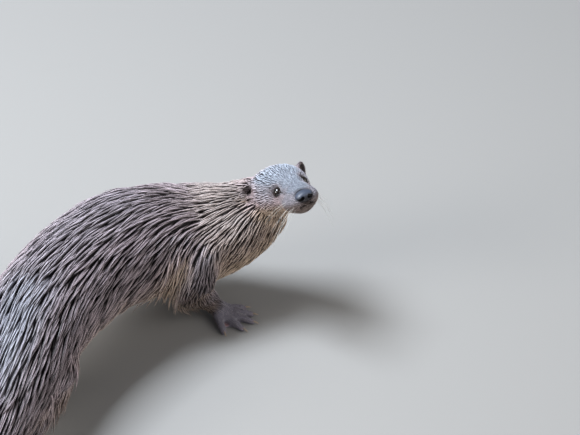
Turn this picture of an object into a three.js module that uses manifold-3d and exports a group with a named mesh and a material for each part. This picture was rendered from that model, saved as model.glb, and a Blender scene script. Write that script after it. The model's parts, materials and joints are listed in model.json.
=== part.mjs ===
// A life-size Eurasian otter, wet from the water, standing on all fours with its body bent in a
// curve and its head turned over its right shoulder. Millimetres, +Z up, standing on Z = 0.
// Every solid is the outer surface of the coat. The flesh is one long loft from the tail tip to
// the neck, parted by thin cuts, with the head, legs, feet and ears lofted on to it.
import * as THREE from "three";
import { mergeVertices } from "three/addons/utils/BufferGeometryUtils.js";
import Module from "manifold-3d";

const wasm = await Module();
wasm.setup();

const GAP = 0.3; // between neighbouring pieces
const LENGTHWISE_TURN = -49; // degrees, turns the stance so that tail tip to nose runs along +X
const rad = THREE.MathUtils.degToRad;
const V = (x, y, z) => new THREE.Vector3(x, y, z);
const UP = V(0, 0, 1);

// ---------------------------------------------------------------- colours and finishes

const finish = (color, roughness) =>
  new THREE.MeshStandardMaterial({ color, roughness, metalness: 0 });
const COAT = finish("#6b5f58", 0.55); // wet grey-brown guard hair
const FOOT_SKIN = finish("#7d6d69", 0.6);
const NOSE_SKIN = finish("#2b2a30", 0.4);
const EYE = finish("#120c0a", 0.05);
const CLAW = finish("#5a4a40", 0.4);

// ---------------------------------------------------------------- driving sizes

// The line of the body, tail tip first. at: middle of the section. wide: half width.
// up and down: from the middle to the back and to the belly.
const BODY = [
  { name: "tail tip", at: V(-548, -716, 6.5), wide: 8, up: 7, down: 8 },
  { name: "tail end", at: V(-492, -664, 11.5), wide: 15, up: 13, down: 13 },
  { name: "tail middle", at: V(-428, -582, 26), wide: 24, up: 21, down: 21 },
  { name: "tail root", at: V(-374, -480, 58), wide: 36, up: 33, down: 31 },
  { name: "tail base", at: V(-336, -378, 90), wide: 52, up: 50, down: 46 },
  { name: "hips", at: V(-305, -276, 113), wide: 70, up: 72, down: 66 },
  { name: "rump", at: V(-258, -140, 131), wide: 75, up: 84, down: 80 },
  { name: "loin", at: V(-173, -22, 138), wide: 76, up: 86, down: 86 },
  { name: "ribs", at: V(-116, 17, 130), wide: 77, up: 80, down: 84 },
  { name: "chest", at: V(-62, 40, 122), wide: 76, up: 73, down: 78 },
  { name: "neck", at: V(-8, 46, 138), wide: 62, up: 62, down: 70 },
  { name: "nape", at: V(26, 54, 158), wide: 48, up: 47, down: 60 },
  { name: "occiput", at: V(50, 58, 178), wide: 38, up: 34, down: 46 },
];

// The head, in its own frame: X forward from between the eyes, Y to its left, Z up.
const HEAD = {
  eyesAt: V(79.5, 16, 224),
  turn: -62, // degrees from +X, so that it looks over the right shoulder
  lift: 28, // degrees that the nose points above level
  tilt: 6, // degrees that its left side is raised
};
const SKULL = [
  { x: -76, mid: -10, wide: 40, up: 28, down: 38 },
  { x: -54, mid: -8, wide: 44, up: 34, down: 39 },
  { x: -30, mid: -8, wide: 40, up: 33.5, down: 35 },
  { x: -10, mid: -8, wide: 32, up: 28, down: 30 },
  { x: 6, mid: -9, wide: 27, up: 21, down: 27 },
  { x: 20, mid: -12, wide: 24.5, up: 17, down: 24 },
  { x: 31, mid: -14, wide: 21.5, up: 13, down: 20 },
  { x: 39, mid: -14, wide: 15.5, up: 10, down: 14 },
];
// Soft rises and hollows of the face: x along the head, angle round it from its left side.
const FACE = [
  { name: "whisker pad", x: 25, angle: -18, high: 4, reach: 11, spread: 30 },
  { name: "cheek", x: -30, angle: -28, high: 4.5, reach: 24, spread: 34 },
  { name: "eye hollow", x: 4, angle: 24, high: -4, reach: 9, spread: 20 },
  { name: "brow", x: -3, angle: 52, high: 2, reach: 10, spread: 16 },
  { name: "chin", x: 27, angle: -90, high: 2, reach: 10, spread: 30 },
];
const EYEBALL = { radius: 6.8, x: 1, out: 20.4, up: 0.5 };
const NOSE = { x: 38, up: -9.5, long: 8, wide: 12.5, high: 8.5 };
// opens: degrees from straight ahead that the ear faces outwards. lean: degrees its top leans in.
// scoop: the hollow's share of the shell's width and height.
const EAR = {
  x: -49, out: 42, up: 2.5, wide: 11, high: 11.5, thick: 5, opens: 35, lean: 14, scoop: 0.72,
};

// Each leg from its top to the wrist or hock. front and back are its half depths.
const SHOULDER = [
  { wide: 26, front: 34, back: 38 },
  { wide: 32, front: 44, back: 40 },
  { wide: 29, front: 40, back: 26 },
  { wide: 22, front: 26, back: 19 },
  { wide: 13.5, front: 13, back: 12 },
];
const THIGH = [
  { wide: 34, front: 46, back: 42 },
  { wide: 38, front: 57, back: 42 },
  { wide: 30, front: 38, back: 26 },
  { wide: 20, front: 21, back: 20 },
  { wide: 13, front: 13, back: 13 },
];
const LEGS = {
  front_right: {
    joints: [V(-62, -4, 140), V(-56, -18, 112), V(-82, -16, 70), V(-50, -2, 45), V(-31, 8, 21)],
    sizes: SHOULDER,
    heading: -24,
  },
  front_left: {
    joints: [V(-104, 60, 140), V(-114, 74, 112), V(-136, 54, 70), V(-110, 74, 45), V(-90, 88, 21)],
    sizes: SHOULDER,
    heading: 28,
  },
  hind_right: {
    joints: [
      V(-284, -258, 132), V(-255, -240, 107), V(-266, -250, 66), V(-280, -308, 47), V(-300, -364, 27),
    ],
    sizes: THIGH,
    heading: 40,
  },
  hind_left: {
    joints: [
      V(-330, -246, 130), V(-342, -234, 102), V(-344, -190, 66), V(-356, -230, 46), V(-370, -268, 27),
    ],
    sizes: THIGH,
    heading: 84,
  },
};

// Feet: toes fan from the wrist or hock, first the toe on the outer side of the body.
const FORE_FOOT = {
  palm: [
    { x: -3, z: 20, wide: 13, up: 11, down: 12 },
    { x: 12, z: 14, wide: 16, up: 9, down: 12 },
    { x: 25, z: 9, wide: 19, up: 6.5, down: 11 },
  ],
  fan: [-46, -17, 3, 19, 36],
  reach: [52, 61, 65, 60, 50],
  root: 20,
  web: 0.74,
};
const HIND_FOOT = {
  palm: [
    { x: -6, z: 24, wide: 11, up: 13, down: 14 },
    { x: 22, z: 17, wide: 13, up: 11, down: 14 },
    { x: 48, z: 12, wide: 17, up: 8, down: 12 },
    { x: 64, z: 9, wide: 22, up: 6.5, down: 11 },
  ],
  fan: [-33, -16, 0, 15, 31],
  reach: [100, 113, 118, 112, 98],
  root: 56,
  web: 0.84,
};
// z: heights over the floor of the toe's middle at its root, its knuckle, before its pad, in the pad.
const TOE = { wide: 5.8, high: 6, pad: 5.2, z: [11, 8.5, 5.5, 4.2], down: [13, 10, 7, 6] };
const CLAW_SIZE = { long: 9, radius: 1.9, point: 0.5, rootHigh: 5.6, tipHigh: 3.4 };
const WEB = { high: 3.4, hollow: 0.86 }; // top over the floor, and how far its front edge dips in
const BELOW = 3; // feet are lofted this far under the floor or further, and the floor is cut off

// ---------------------------------------------------------------- solids

// A closed three.js geometry as a solid that can be cut and joined.
function solid(geometry) {
  const bare = geometry.clone();
  bare.deleteAttribute("normal");
  bare.deleteAttribute("uv");
  const merged = mergeVertices(bare, 1e-3);
  return new wasm.Manifold(
    new wasm.Mesh({
      numProp: 3,
      vertProperties: merged.attributes.position.array,
      triVerts: new Uint32Array(merged.index.array),
    }),
  );
}

function geometryOf(made) {
  const { vertProperties, triVerts } = made.getMesh();
  const geometry = new THREE.BufferGeometry();
  geometry.setAttribute("position", new THREE.BufferAttribute(vertProperties, 3));
  geometry.setIndex(new THREE.BufferAttribute(triVerts, 1));
  geometry.computeVertexNormals();
  return geometry;
}

const joined = (solids) => solids.reduce((all, one) => all.add(one));

// What a cut leaves of a solid, without the slivers that it leaves beside it.
const mainBody = (cut) =>
  cut.decompose().reduce((best, one) => (one.volume() > best.volume() ? one : best));

// Joins rings of points into one closed skin: ring after ring, with a point at each end.
function skinOver(rings, first, last) {
  const sides = rings[0].length;
  const points = [first, ...rings.flat(), last];
  const faces = [];
  const at = (ring, side) => 1 + ring * sides + (side % sides);
  for (let s = 0; s < sides; s++) {
    faces.push(0, at(0, s + 1), at(0, s));
    faces.push(points.length - 1, at(rings.length - 1, s), at(rings.length - 1, s + 1));
    for (let r = 0; r + 1 < rings.length; r++) {
      faces.push(at(r, s), at(r, s + 1), at(r + 1, s));
      faces.push(at(r, s + 1), at(r + 1, s + 1), at(r + 1, s));
    }
  }
  const geometry = new THREE.BufferGeometry().setFromPoints(points);
  geometry.setIndex(faces);
  return geometry;
}

const DOME_OUT = 0.7; // how far out along a dome its one ring stands

// A body of oval sections along a smooth line through the stations. up is the way that the
// sections' tops lean, from and to are station numbers, and a dome rounds each end by its length.
function loft(stations, options = {}) {
  const { sides = 20, rings: count = 6, from = 0, to = stations.length - 1 } = options;
  const { up = UP, grow = 0, domes = [0, 0], swell = () => 0 } = options;
  const line = new THREE.CatmullRomCurve3(stations.map((s) => s.at), false, "centripetal");
  const size = new THREE.CatmullRomCurve3(
    stations.map((s) => V(s.wide, s.up, s.down)), false, "centripetal",
  );
  const share = (station) => station / (stations.length - 1);
  const ringAt = (t, ahead, shrink) => {
    const forward = line.getTangent(t);
    const left = up.clone().cross(forward).normalize();
    const top = forward.clone().cross(left);
    const middle = line.getPoint(t).addScaledVector(forward, ahead);
    const { x: wide, y: high, z: deep } = size.getPoint(t);
    return Array.from({ length: sides }, (_, i) => {
      const angle = (2 * Math.PI * i) / sides;
      const extra = grow + swell(t, angle);
      const across = Math.cos(angle) * (wide + extra) * shrink;
      const above = Math.sin(angle) * ((Math.sin(angle) > 0 ? high : deep) + extra) * shrink;
      return middle.clone().addScaledVector(left, across).addScaledVector(top, above);
    });
  };
  const start = share(from), end = share(to);
  const rings = [];
  const ends = [start, end].map((t, i) => {
    const forward = line.getTangent(t).multiplyScalar(i ? 1 : -1);
    return line.getPoint(t).addScaledVector(forward, domes[i] + (domes[i] ? grow : 0));
  });
  const domeRing = (t, ahead) => ringAt(t, ahead * DOME_OUT, Math.sqrt(1 - DOME_OUT ** 2));
  if (domes[0]) rings.push(domeRing(start, -domes[0] - grow));
  for (let i = 0; i <= count; i++) rings.push(ringAt(start + ((end - start) * i) / count, 0, 1));
  if (domes[1]) rings.push(domeRing(end, domes[1] + grow));
  return solid(skinOver(rings, ends[0], ends[1]));
}

function ellipsoid(radii, turn = new THREE.Matrix4(), sides = 20) {
  const ball = new THREE.SphereGeometry(1, sides, Math.round(sides * 0.6));
  ball.scale(radii.x, radii.y, radii.z);
  return solid(ball.applyMatrix4(turn));
}

// ---------------------------------------------------------------- body, tail and neck

// The pieces of the one long loft, each from one station number of BODY to another.
const LENGTHS = {
  tail_tip: { from: 0, to: 2, rings: 5, domes: [7, 0], sides: 14 },
  tail_middle: { from: 2, to: 3, rings: 3, sides: 14 },
  tail_base: { from: 3, to: 4, rings: 3, sides: 18 },
  rump: { from: 4, to: 6, rings: 8 },
  loin: { from: 6, to: 8, rings: 7 },
  chest: { from: 8, to: 9.6, rings: 5 },
  neck: { from: 9.6, to: 12, rings: 6, domes: [0, 14] },
};
const CUT = 0.002; // stations trimmed off each side of a cut, about 0.15 mm
const isEnd = (station) => station === 0 || station === BODY.length - 1;
const lengthOf = (name, grow = 0) => {
  const { from, to, rings, domes = [0, 0], sides = 20 } = LENGTHS[name];
  const inward = grow ? -CUT : CUT; // a cutter's lengths run into each other
  const trim = (station, sign) => (isEnd(station) ? station : station + sign * inward);
  return loft(BODY, { sides, domes, grow, rings, from: trim(from, 1), to: trim(to, -1) });
};

// ---------------------------------------------------------------- head

const headFrame = new THREE.Matrix4().compose(
  HEAD.eyesAt,
  new THREE.Quaternion().setFromEuler(
    new THREE.Euler(rad(HEAD.tilt), rad(-HEAD.lift), rad(HEAD.turn), "ZYX"),
  ),
  V(1, 1, 1),
);
const skullStations = SKULL.map((s) => ({ ...s, at: V(s.x, 0, s.mid) }));

const skullLine = new THREE.CatmullRomCurve3(skullStations.map((s) => s.at), false, "centripetal");

// The sum of the face's rises and hollows at a place on the head, the same on both sides.
function faceForm(t, angle) {
  const { x } = skullLine.getPoint(t);
  const degrees = THREE.MathUtils.radToDeg(angle);
  return FACE.reduce((sum, form) => {
    const sides = [form.angle, 180 - form.angle];
    const round = Math.max(...sides.map((a) => {
      const off = ((((degrees - a) % 360) + 540) % 360) - 180;
      return Math.exp(-((off / form.spread) ** 2));
    }));
    return sum + form.high * round * Math.exp(-(((x - form.x) / form.reach) ** 2));
  }, 0);
}
const skull = (grow = 0) =>
  loft(skullStations, { sides: 24, rings: 11, domes: [12, 5], swell: faceForm, grow }).transform(
    headFrame.elements,
  );

const inHead = (matrix) => headFrame.clone().multiply(matrix);
const eyeball = (side, grow = 0) => {
  const place = new THREE.Matrix4().makeTranslation(EYEBALL.x, side * EYEBALL.out, EYEBALL.up);
  const r = EYEBALL.radius + grow;
  return ellipsoid(V(r, r, r), inHead(place), 10);
};
const nosePad = (grow = 0) => {
  const place = new THREE.Matrix4().makeTranslation(NOSE.x, 0, NOSE.up);
  const pad = V(NOSE.long + grow, NOSE.wide + grow, NOSE.high + grow);
  return ellipsoid(pad, inHead(place), 12);
};

// A rounded shell that stands out from the side of the head and opens forwards and outwards.
function ear(side) {
  const { x, out, up, wide, high, thick, opens, lean, scoop } = EAR;
  const place = new THREE.Matrix4().makeTranslation(x, side * out, up)
    .multiply(new THREE.Matrix4().makeRotationX(rad(-side * lean)))
    .multiply(new THREE.Matrix4().makeRotationZ(rad(side * opens)));
  const shell = ellipsoid(V(thick, wide, high), inHead(place), 12);
  const ahead = new THREE.Matrix4().makeTranslation(thick, 0, 1);
  const hollow = ellipsoid(V(thick, wide * scoop, high * scoop), inHead(place.multiply(ahead)), 9);
  return mainBody(shell.subtract(hollow).subtract(skull(GAP)).subtract(lengthOf("neck", GAP)));
}

// ---------------------------------------------------------------- legs and feet

const heading = (degrees) => V(Math.cos(rad(degrees)), Math.sin(rad(degrees)), 0);
const isFront = (leg) => leg.startsWith("front");

// The leg's upper or lower length, with its front side facing the way its foot points.
function legLength(name, from, to, grow = 0, domes = [0, 0]) {
  const { joints, sizes, heading: faces } = LEGS[name];
  const stations = joints.map((at, i) => ({
    at, wide: sizes[i].wide, up: sizes[i].front, down: sizes[i].back,
  }));
  return loft(stations, { sides: 12, rings: 4, up: heading(faces), from, to, grow, domes });
}

const footFrame = (name) => {
  const at = LEGS[name].joints.at(-1);
  return new THREE.Matrix4()
    .makeRotationZ(rad(LEGS[name].heading))
    .setPosition(at.x, at.y, 0);
};
const footOf = (name) => (isFront(name) ? FORE_FOOT : HIND_FOOT);
const outerSide = (name) => (name.endsWith("right") ? 1 : -1); // the fan's first toe is outermost
const toeAngle = (name, i) => outerSide(name) * footOf(name).fan[i];

const onToe = (name, i, out, z) => {
  const a = rad(toeAngle(name, i));
  return V(out * Math.cos(a), out * Math.sin(a), z);
};

function toe(name, i) {
  const { root, reach } = footOf(name);
  const knuckle = root + (reach[i] - root) * 0.5;
  const { wide, high, pad, z, down } = TOE;
  const station = (n, out, width, height) => (
    { at: onToe(name, i, out, z[n]), wide: wide * width, up: high * height, down: down[n] }
  );
  return loft(
    [
      station(0, root * 0.8, 1.1, 1),
      station(1, knuckle, 1, 1),
      station(2, reach[i] - pad * 1.6, 0.86, 0.7),
      station(3, reach[i] - pad * 0.6, 0.84, 0.6),
    ],
    { sides: 6, rings: 2, domes: [0, pad * 0.6] },
  );
}

// A short curved nail out of the top of the toe's end.
function claw(name, i, grow = 0) {
  const { reach } = footOf(name);
  const { long, radius, point, rootHigh, tipHigh } = CLAW_SIZE;
  const start = reach[i] - TOE.pad * 0.7;
  const station = (out, z, r) => ({ at: onToe(name, i, start + out, z), wide: r, up: r, down: r });
  const nail = loft(
    [
      station(0, rootHigh, radius),
      station(long / 2, rootHigh, radius * 0.9),
      station(long, tipHigh, point),
    ],
    { sides: 4, rings: 2, grow },
  );
  return nail.transform(footFrame(name).elements);
}

// The skin between the toes, one fan with a hollowed front edge between each pair.
function web(name) {
  const { reach, root, web: share } = footOf(name);
  const flat = (i, out) => {
    const p = onToe(name, i, out, 0);
    return [p.x, p.y];
  };
  const fan = new THREE.Shape();
  fan.moveTo(...flat(0, root * 0.6));
  fan.lineTo(...flat(0, reach[0] * share));
  for (let i = 1; i < reach.length; i++) {
    const a = flat(i - 1, reach[i - 1] * share), b = flat(i, reach[i] * share);
    const dip = a.map((_, axis) => ((a[axis] + b[axis]) / 2) * WEB.hollow);
    fan.quadraticCurveTo(...dip, ...b);
  }
  fan.lineTo(...flat(reach.length - 1, root * 0.6));
  const sheet = new THREE.ExtrudeGeometry(fan, {
    depth: WEB.high + BELOW, bevelEnabled: false, curveSegments: 2,
  });
  return solid(sheet.translate(0, 0, -BELOW));
}

function foot(name) {
  const { palm, reach } = footOf(name);
  const stations = palm.map((p) => ({ at: V(p.x, 0, p.z), wide: p.wide, up: p.up, down: p.down }));
  const back = loft(stations, { sides: 8, rings: 3, domes: [4, 5] });
  const whole = joined([back, web(name), ...reach.map((_, i) => toe(name, i))]);
  return whole.transform(footFrame(name).elements);
}

// ---------------------------------------------------------------- the whole animal

const floor = solid(new THREE.BoxGeometry(4000, 4000, 200).translate(0, 0, -100));
const otter = new THREE.Group();
function add(name, made, material) {
  const mesh = new THREE.Mesh(geometryOf(made), material);
  mesh.name = name;
  otter.add(mesh);
}

const headCut = skull(GAP);
for (const name of Object.keys(LENGTHS)) {
  let made = lengthOf(name);
  if (name === "neck") made = made.subtract(headCut);
  if (name === "tail_tip") made = made.subtract(floor);
  add(name, made, COAT);
}

let head = skull().subtract(nosePad(GAP));
for (const side of [1, -1]) head = head.subtract(eyeball(side, GAP));
add("head", head, COAT);
add("nose", nosePad(), NOSE_SKIN);
for (const [name, side] of [["left", 1], ["right", -1]]) {
  add("eye_" + name, eyeball(side), EYE);
  add("ear_" + name, ear(side), COAT);
}

const trunkCut = joined(["rump", "loin", "chest", "neck"].map((name) => lengthOf(name, 2 * GAP)));
const KNEE = 2.45; // the leg station, just below the elbow or knee, where its upper length ends
const KNEE_GAP = 0.006; // stations between the two lengths
for (const name of Object.keys(LEGS)) {
  const toes = footOf(name).reach.map((_, i) => i);
  const lower = legLength(name, KNEE, 4, 0, [0, 6]);
  const lowerCut = legLength(name, KNEE - KNEE_GAP, 4, GAP, [0, 6]);
  const upper = legLength(name, 0, KNEE - KNEE_GAP, 0, [22, 0]);
  const clawCut = joined(toes.map((i) => claw(name, i, GAP)));
  const sole = foot(name).subtract(floor);
  const upperCut = upper.subtract(trunkCut).subtract(headCut).subtract(lowerCut);
  add("leg_" + name + "_upper", mainBody(upperCut), COAT);
  add("leg_" + name + "_lower", mainBody(lower.subtract(trunkCut)), COAT);
  add("foot_" + name, mainBody(sole.subtract(clawCut).subtract(lowerCut)), FOOT_SKIN);
  for (const i of toes) add("claw_" + name + "_" + (i + 1), claw(name, i), CLAW);
}

otter.rotation.z = rad(LENGTHWISE_TURN);
otter.updateMatrixWorld(true);
const box = new THREE.Box3().setFromObject(otter, true);
const middle = box.getCenter(V(0, 0, 0));
otter.position.set(-middle.x, -middle.y, -box.min.z);
export default otter;
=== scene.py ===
# %% [markdown]
# # A wet Eurasian otter, life size
#
# The otter stands on all fours with its body bent in a curve and looks back over its right
# shoulder. Its coat has just come out of the water, so the guard hairs cling together in flat
# pointed locks. The solid model gives the place and size of every part. This script puts one
# skin over the flesh, sculpts the face, and grows the coat on it as thousands of small solid
# locks, because a solid lock keeps its shape in every program that reads the model.

# %% Load the solid model
import json
import math
from itertools import product

import bpy
import numpy as np
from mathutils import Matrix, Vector
from mathutils.bvhtree import BVHTree
from mathutils.kdtree import KDTree

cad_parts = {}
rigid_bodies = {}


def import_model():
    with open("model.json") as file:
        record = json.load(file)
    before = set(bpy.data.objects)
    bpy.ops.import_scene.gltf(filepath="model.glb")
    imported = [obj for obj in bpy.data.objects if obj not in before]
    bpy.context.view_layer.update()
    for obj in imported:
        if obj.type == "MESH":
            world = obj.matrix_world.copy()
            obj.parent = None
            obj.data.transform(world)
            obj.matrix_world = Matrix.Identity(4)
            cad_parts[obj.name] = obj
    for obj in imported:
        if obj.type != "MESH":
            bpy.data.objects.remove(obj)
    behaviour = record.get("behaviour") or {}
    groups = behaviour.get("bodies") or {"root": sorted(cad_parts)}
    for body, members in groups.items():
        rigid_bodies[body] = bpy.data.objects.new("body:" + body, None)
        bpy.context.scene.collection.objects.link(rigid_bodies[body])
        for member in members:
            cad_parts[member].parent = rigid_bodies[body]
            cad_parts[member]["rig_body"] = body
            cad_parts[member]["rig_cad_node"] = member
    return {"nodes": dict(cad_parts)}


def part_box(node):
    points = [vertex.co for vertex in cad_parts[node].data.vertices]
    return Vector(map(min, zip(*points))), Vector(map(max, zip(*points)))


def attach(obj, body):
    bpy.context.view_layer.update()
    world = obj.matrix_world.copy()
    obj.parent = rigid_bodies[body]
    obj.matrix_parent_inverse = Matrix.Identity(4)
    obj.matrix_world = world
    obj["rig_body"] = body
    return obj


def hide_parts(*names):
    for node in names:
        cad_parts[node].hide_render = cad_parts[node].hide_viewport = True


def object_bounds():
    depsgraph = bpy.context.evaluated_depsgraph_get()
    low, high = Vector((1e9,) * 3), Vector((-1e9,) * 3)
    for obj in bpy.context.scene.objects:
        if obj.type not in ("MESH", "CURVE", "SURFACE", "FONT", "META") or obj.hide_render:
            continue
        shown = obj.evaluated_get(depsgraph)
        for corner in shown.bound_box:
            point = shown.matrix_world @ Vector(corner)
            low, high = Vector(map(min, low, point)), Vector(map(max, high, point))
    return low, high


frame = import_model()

cad_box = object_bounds()
MM = 0.001
rng = np.random.default_rng(7)
bpy.ops.object.select_all(action="DESELECT")
print("nodes:", len(frame["nodes"]), "size:", [round(x, 3) for x in cad_box[1] - cad_box[0]])

# %% [markdown]
# ## Measuring the animal
#
# Everything below is placed from the solids. Small helpers read a node's points, find where two
# nodes meet, and turn points into the head's own directions. That way the face can be sculpted
# in plain words such as forward, left and up, although the head is turned, raised and tilted.


# %% Helpers that measure
def rows_of(items, key):
    """Three numbers of each vertex or face of a mesh, as rows of x, y and z."""
    flat = np.empty(len(items) * 3)
    items.foreach_get(key, flat)
    return flat.reshape(-1, 3)


def points_of(mesh):
    return rows_of(mesh.vertices, "co")


def normals_of(mesh):
    return rows_of(mesh.vertices, "normal")


def unit(vectors):
    return vectors / np.maximum(np.linalg.norm(vectors, axis=-1, keepdims=True), 1e-9)


def ease(low, high, values):
    """0 below low, 1 above high, and a smooth rise between."""
    t = np.clip((values - low) / (high - low), 0, 1)
    return t * t * (3 - 2 * t)


def centre_of(node):
    """The middle of a node's box."""
    low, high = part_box(node)
    return np.array((low + high) / 2)


def mean_point(node):
    """The mean of a node's points, which lies inside it although it bends."""
    return points_of(frame["nodes"][node].data).mean(axis=0)


def distance(points, centre):
    return np.linalg.norm(points - centre, axis=1)


def kd_tree(points):
    """A search tree that quickly finds which of the points lie near a place."""
    tree = KDTree(len(points))
    for i, p in enumerate(points):
        tree.insert(p, i)
    tree.balance()
    return tree


def junction(node, other, reach=3 * MM):
    """The middle of the end where one node meets another."""
    tree = kd_tree(points_of(frame["nodes"][other].data))
    mine = points_of(frame["nodes"][node].data)
    near = np.array([tree.find(p)[2] < reach for p in mine])
    return mine[near].mean(axis=0)


# %% The head's own directions
NOSE_DROP = math.radians(15.1)  # how far the nose lies below the head's level line
eye_at = {side: centre_of("eye_" + side) for side in ("left", "right")}
EYE_RADIUS = float(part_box("eye_left")[1].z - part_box("eye_left")[0].z) / 2
head_at = (eye_at["left"] + eye_at["right"]) / 2
head_left = unit(eye_at["left"] - eye_at["right"])
to_nose = centre_of("nose") - head_at
to_nose = unit(to_nose - head_left * (to_nose @ head_left))
over_nose = np.cross(to_nose, head_left)
head_forward = to_nose * math.cos(NOSE_DROP) + over_nose * math.sin(NOSE_DROP)
head_up = over_nose * math.cos(NOSE_DROP) - to_nose * math.sin(NOSE_DROP)
HEAD_AXES = np.array([head_forward, head_left, head_up])


def to_head(points):
    """Millimetres forward, left and up from between the eyes."""
    return (points - head_at) @ HEAD_AXES.T / MM


def from_head(places):
    return head_at + np.asarray(places) @ HEAD_AXES * MM


def from_eyes(points):
    """Metres from each point to the nearer eye."""
    return np.minimum(*(distance(points, at) for at in eye_at.values()))


def from_ears(points):
    """Metres from each point to the nearer ear."""
    return np.minimum(*(distance(points, centre_of("ear_" + side)) for side in eye_at))


print("eye radius:", round(EYE_RADIUS / MM, 2), "mm; the head looks", head_forward.round(2))

# %% [markdown]
# ## The lines that the coat follows
#
# Hair points away from the nose: along the back to the tail, and down each leg to the toes. So
# the coat needs a line through the trunk and one through each leg. Such lines could be drawn by
# hand, but then they would be wrong as soon as the pose changed. Here each is a smooth curve
# through the middles of the solids and the places where they meet.

# %% Lines through the trunk and the legs
TRUNK = ["neck", "chest", "loin", "rump", "tail_base", "tail_middle", "tail_tip"]
LEGS = ["front_left", "front_right", "hind_left", "hind_right"]
LINE_POINTS = 240
UP = np.array([0.0, 0.0, 1.0])


def smooth_line(points, side):
    """A curve through the points: close places on it, and the way it runs at each.
    side is a direction across the line, from which angles round it are counted."""
    knots = np.array([2 * points[0] - points[1], *points, 2 * points[-1] - points[-2]])
    where = np.linspace(0, len(points) - 1 - 1e-9, LINE_POINTS)
    i = where.astype(int)
    t = (where - i)[:, None]
    a, b, c, d = (knots[i + n] for n in range(4))
    places = 0.5 * (
        2 * b + (c - a) * t + (2 * a - 5 * b + 4 * c - d) * t**2 + (3 * b - a - 3 * c + d) * t**3
    )
    return {"places": places, "way": unit(np.gradient(places, axis=0)), "side": side}


def trunk_line():
    """From the middle of the head through the neck and the back to the tip of the tail."""
    stops = [from_head([-20, 0, -8]), from_head([-62, 0, -10])]
    for node, after in zip(TRUNK, TRUNK[1:]):
        stops += [mean_point(node), junction(node, after)]
    last = points_of(frame["nodes"]["tail_tip"].data)
    tip = last[distance(last, stops[-1]).argmax()]
    return smooth_line([*stops, mean_point("tail_tip"), tip], UP)


def leg_line(leg):
    """From the top of a leg through its knee or elbow and its ankle to the claws."""
    upper = points_of(frame["nodes"][f"leg_{leg}_upper"].data)
    top = upper[upper[:, 2] > np.quantile(upper[:, 2], 0.8)].mean(axis=0)
    knee = junction(f"leg_{leg}_lower", f"leg_{leg}_upper")
    ankle = junction(f"leg_{leg}_lower", f"foot_{leg}")
    toes = np.mean([centre_of(f"claw_{leg}_{i}") for i in range(1, 6)], axis=0)
    return smooth_line([top, knee, ankle, toes], unit(np.cross(UP, toes - top)))


LINES = {"trunk": trunk_line(), **{leg: leg_line(leg) for leg in LEGS}}
LINES["head"] = smooth_line([from_head([x, 0, -9]) for x in (46, 20, -30, -84)], head_up)


def nearest_on(line, points):
    """The number of the line's place that is nearest to each point."""
    places = line["places"]
    return np.concatenate([
        ((block[:, None] - places) ** 2).sum(axis=2).argmin(axis=1)
        for block in np.array_split(points, max(1, len(points) // 4000))
    ])


for name, line in LINES.items():
    steps = np.diff(line["places"], axis=0)
    print(name, "line:", round(float(np.linalg.norm(steps, axis=1).sum()), 3), "m")

# %% [markdown]
# ## One skin over the flesh
#
# The real animal has no seams, but the solids are cut where head, neck, trunk and legs meet.
# A Boolean could join them, but it would keep every step at the joins. So copies of them are
# joined and swelled by half a millimetre, and run into each other. The Remesh modifier then
# turns them into one closed surface, as a sculptor fuses rough blocks of clay, and Smooth rounds
# the joins. The trunk is hidden by its coat, so Decimate thins it there and leaves the head and
# feet fine.

# %% Helpers for modelling
def select_only(*objects):
    bpy.ops.object.select_all(action="DESELECT")
    for obj in objects:
        obj.select_set(True)
    bpy.context.view_layer.objects.active = objects[0]


def apply_modifier(obj, kind, **settings):
    select_only(obj)
    modifier = obj.modifiers.new(kind.title(), kind)
    for name, value in settings.items():
        setattr(modifier, name, value)
    bpy.ops.object.modifier_apply(modifier=modifier.name)


def move_points(obj, places):
    obj.data.vertices.foreach_set("co", np.ascontiguousarray(places, np.float32).ravel())
    obj.data.update()


def edges_of(mesh):
    pairs = np.empty(len(mesh.edges) * 2, np.int64)
    mesh.edges.foreach_get("vertices", pairs)
    return pairs.reshape(-1, 2)


def spread(values, edges, rounds):
    """Evens out a value held by each vertex, by sharing it with the neighbours."""
    values = np.array(values, float)
    columns = values.reshape(len(values), -1)
    starts, ends = edges.T
    count = np.bincount(edges.ravel(), minlength=len(values)).clip(1)
    for _ in range(rounds):
        for column in columns.T:
            total = np.bincount(starts, column[ends], len(values))
            total += np.bincount(ends, column[starts], len(values))
            column[:] = 0.5 * column + 0.5 * total / count
    return columns.reshape(values.shape)


# %% Join the solids into one surface
SWELL = 0.5 * MM
VOXEL = 1.8 * MM
FLESH = [n for n in frame["nodes"] if not n.startswith(("claw", "eye", "nose"))]


def copy_of(node):
    """A free copy of a solid, without the marks that tie it to the solid model."""
    solid = frame["nodes"][node]
    twin = solid.copy()
    twin.data = solid.data.copy()
    twin.parent = None
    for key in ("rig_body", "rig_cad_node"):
        if key in twin:
            del twin[key]
    bpy.context.scene.collection.objects.link(twin)
    return twin


def joined_copies(nodes, name, merge):
    """One object from copies of these solids, with the loose triangles of each one merged."""
    select_only(*[copy_of(node) for node in nodes])
    bpy.ops.object.mode_set(mode="EDIT")
    bpy.ops.mesh.select_all(action="SELECT")
    bpy.ops.mesh.remove_doubles(threshold=merge)
    bpy.ops.object.mode_set(mode="OBJECT")
    bpy.ops.object.join()
    whole = bpy.context.view_layer.objects.active
    whole.name = name
    whole.data.materials.clear()
    return whole


skin = joined_copies([*FLESH, "eye_left", "eye_right", "nose"], "skin", 0.001 * MM)
apply_modifier(skin, "DISPLACE", strength=SWELL, mid_level=0)
apply_modifier(skin, "REMESH", mode="VOXEL", voxel_size=VOXEL)
print("fused skin:", len(skin.data.vertices), "vertices")

# %% Smooth it, and thin it where the coat hides it
ANKLE_HIGH = 34 * MM


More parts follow.
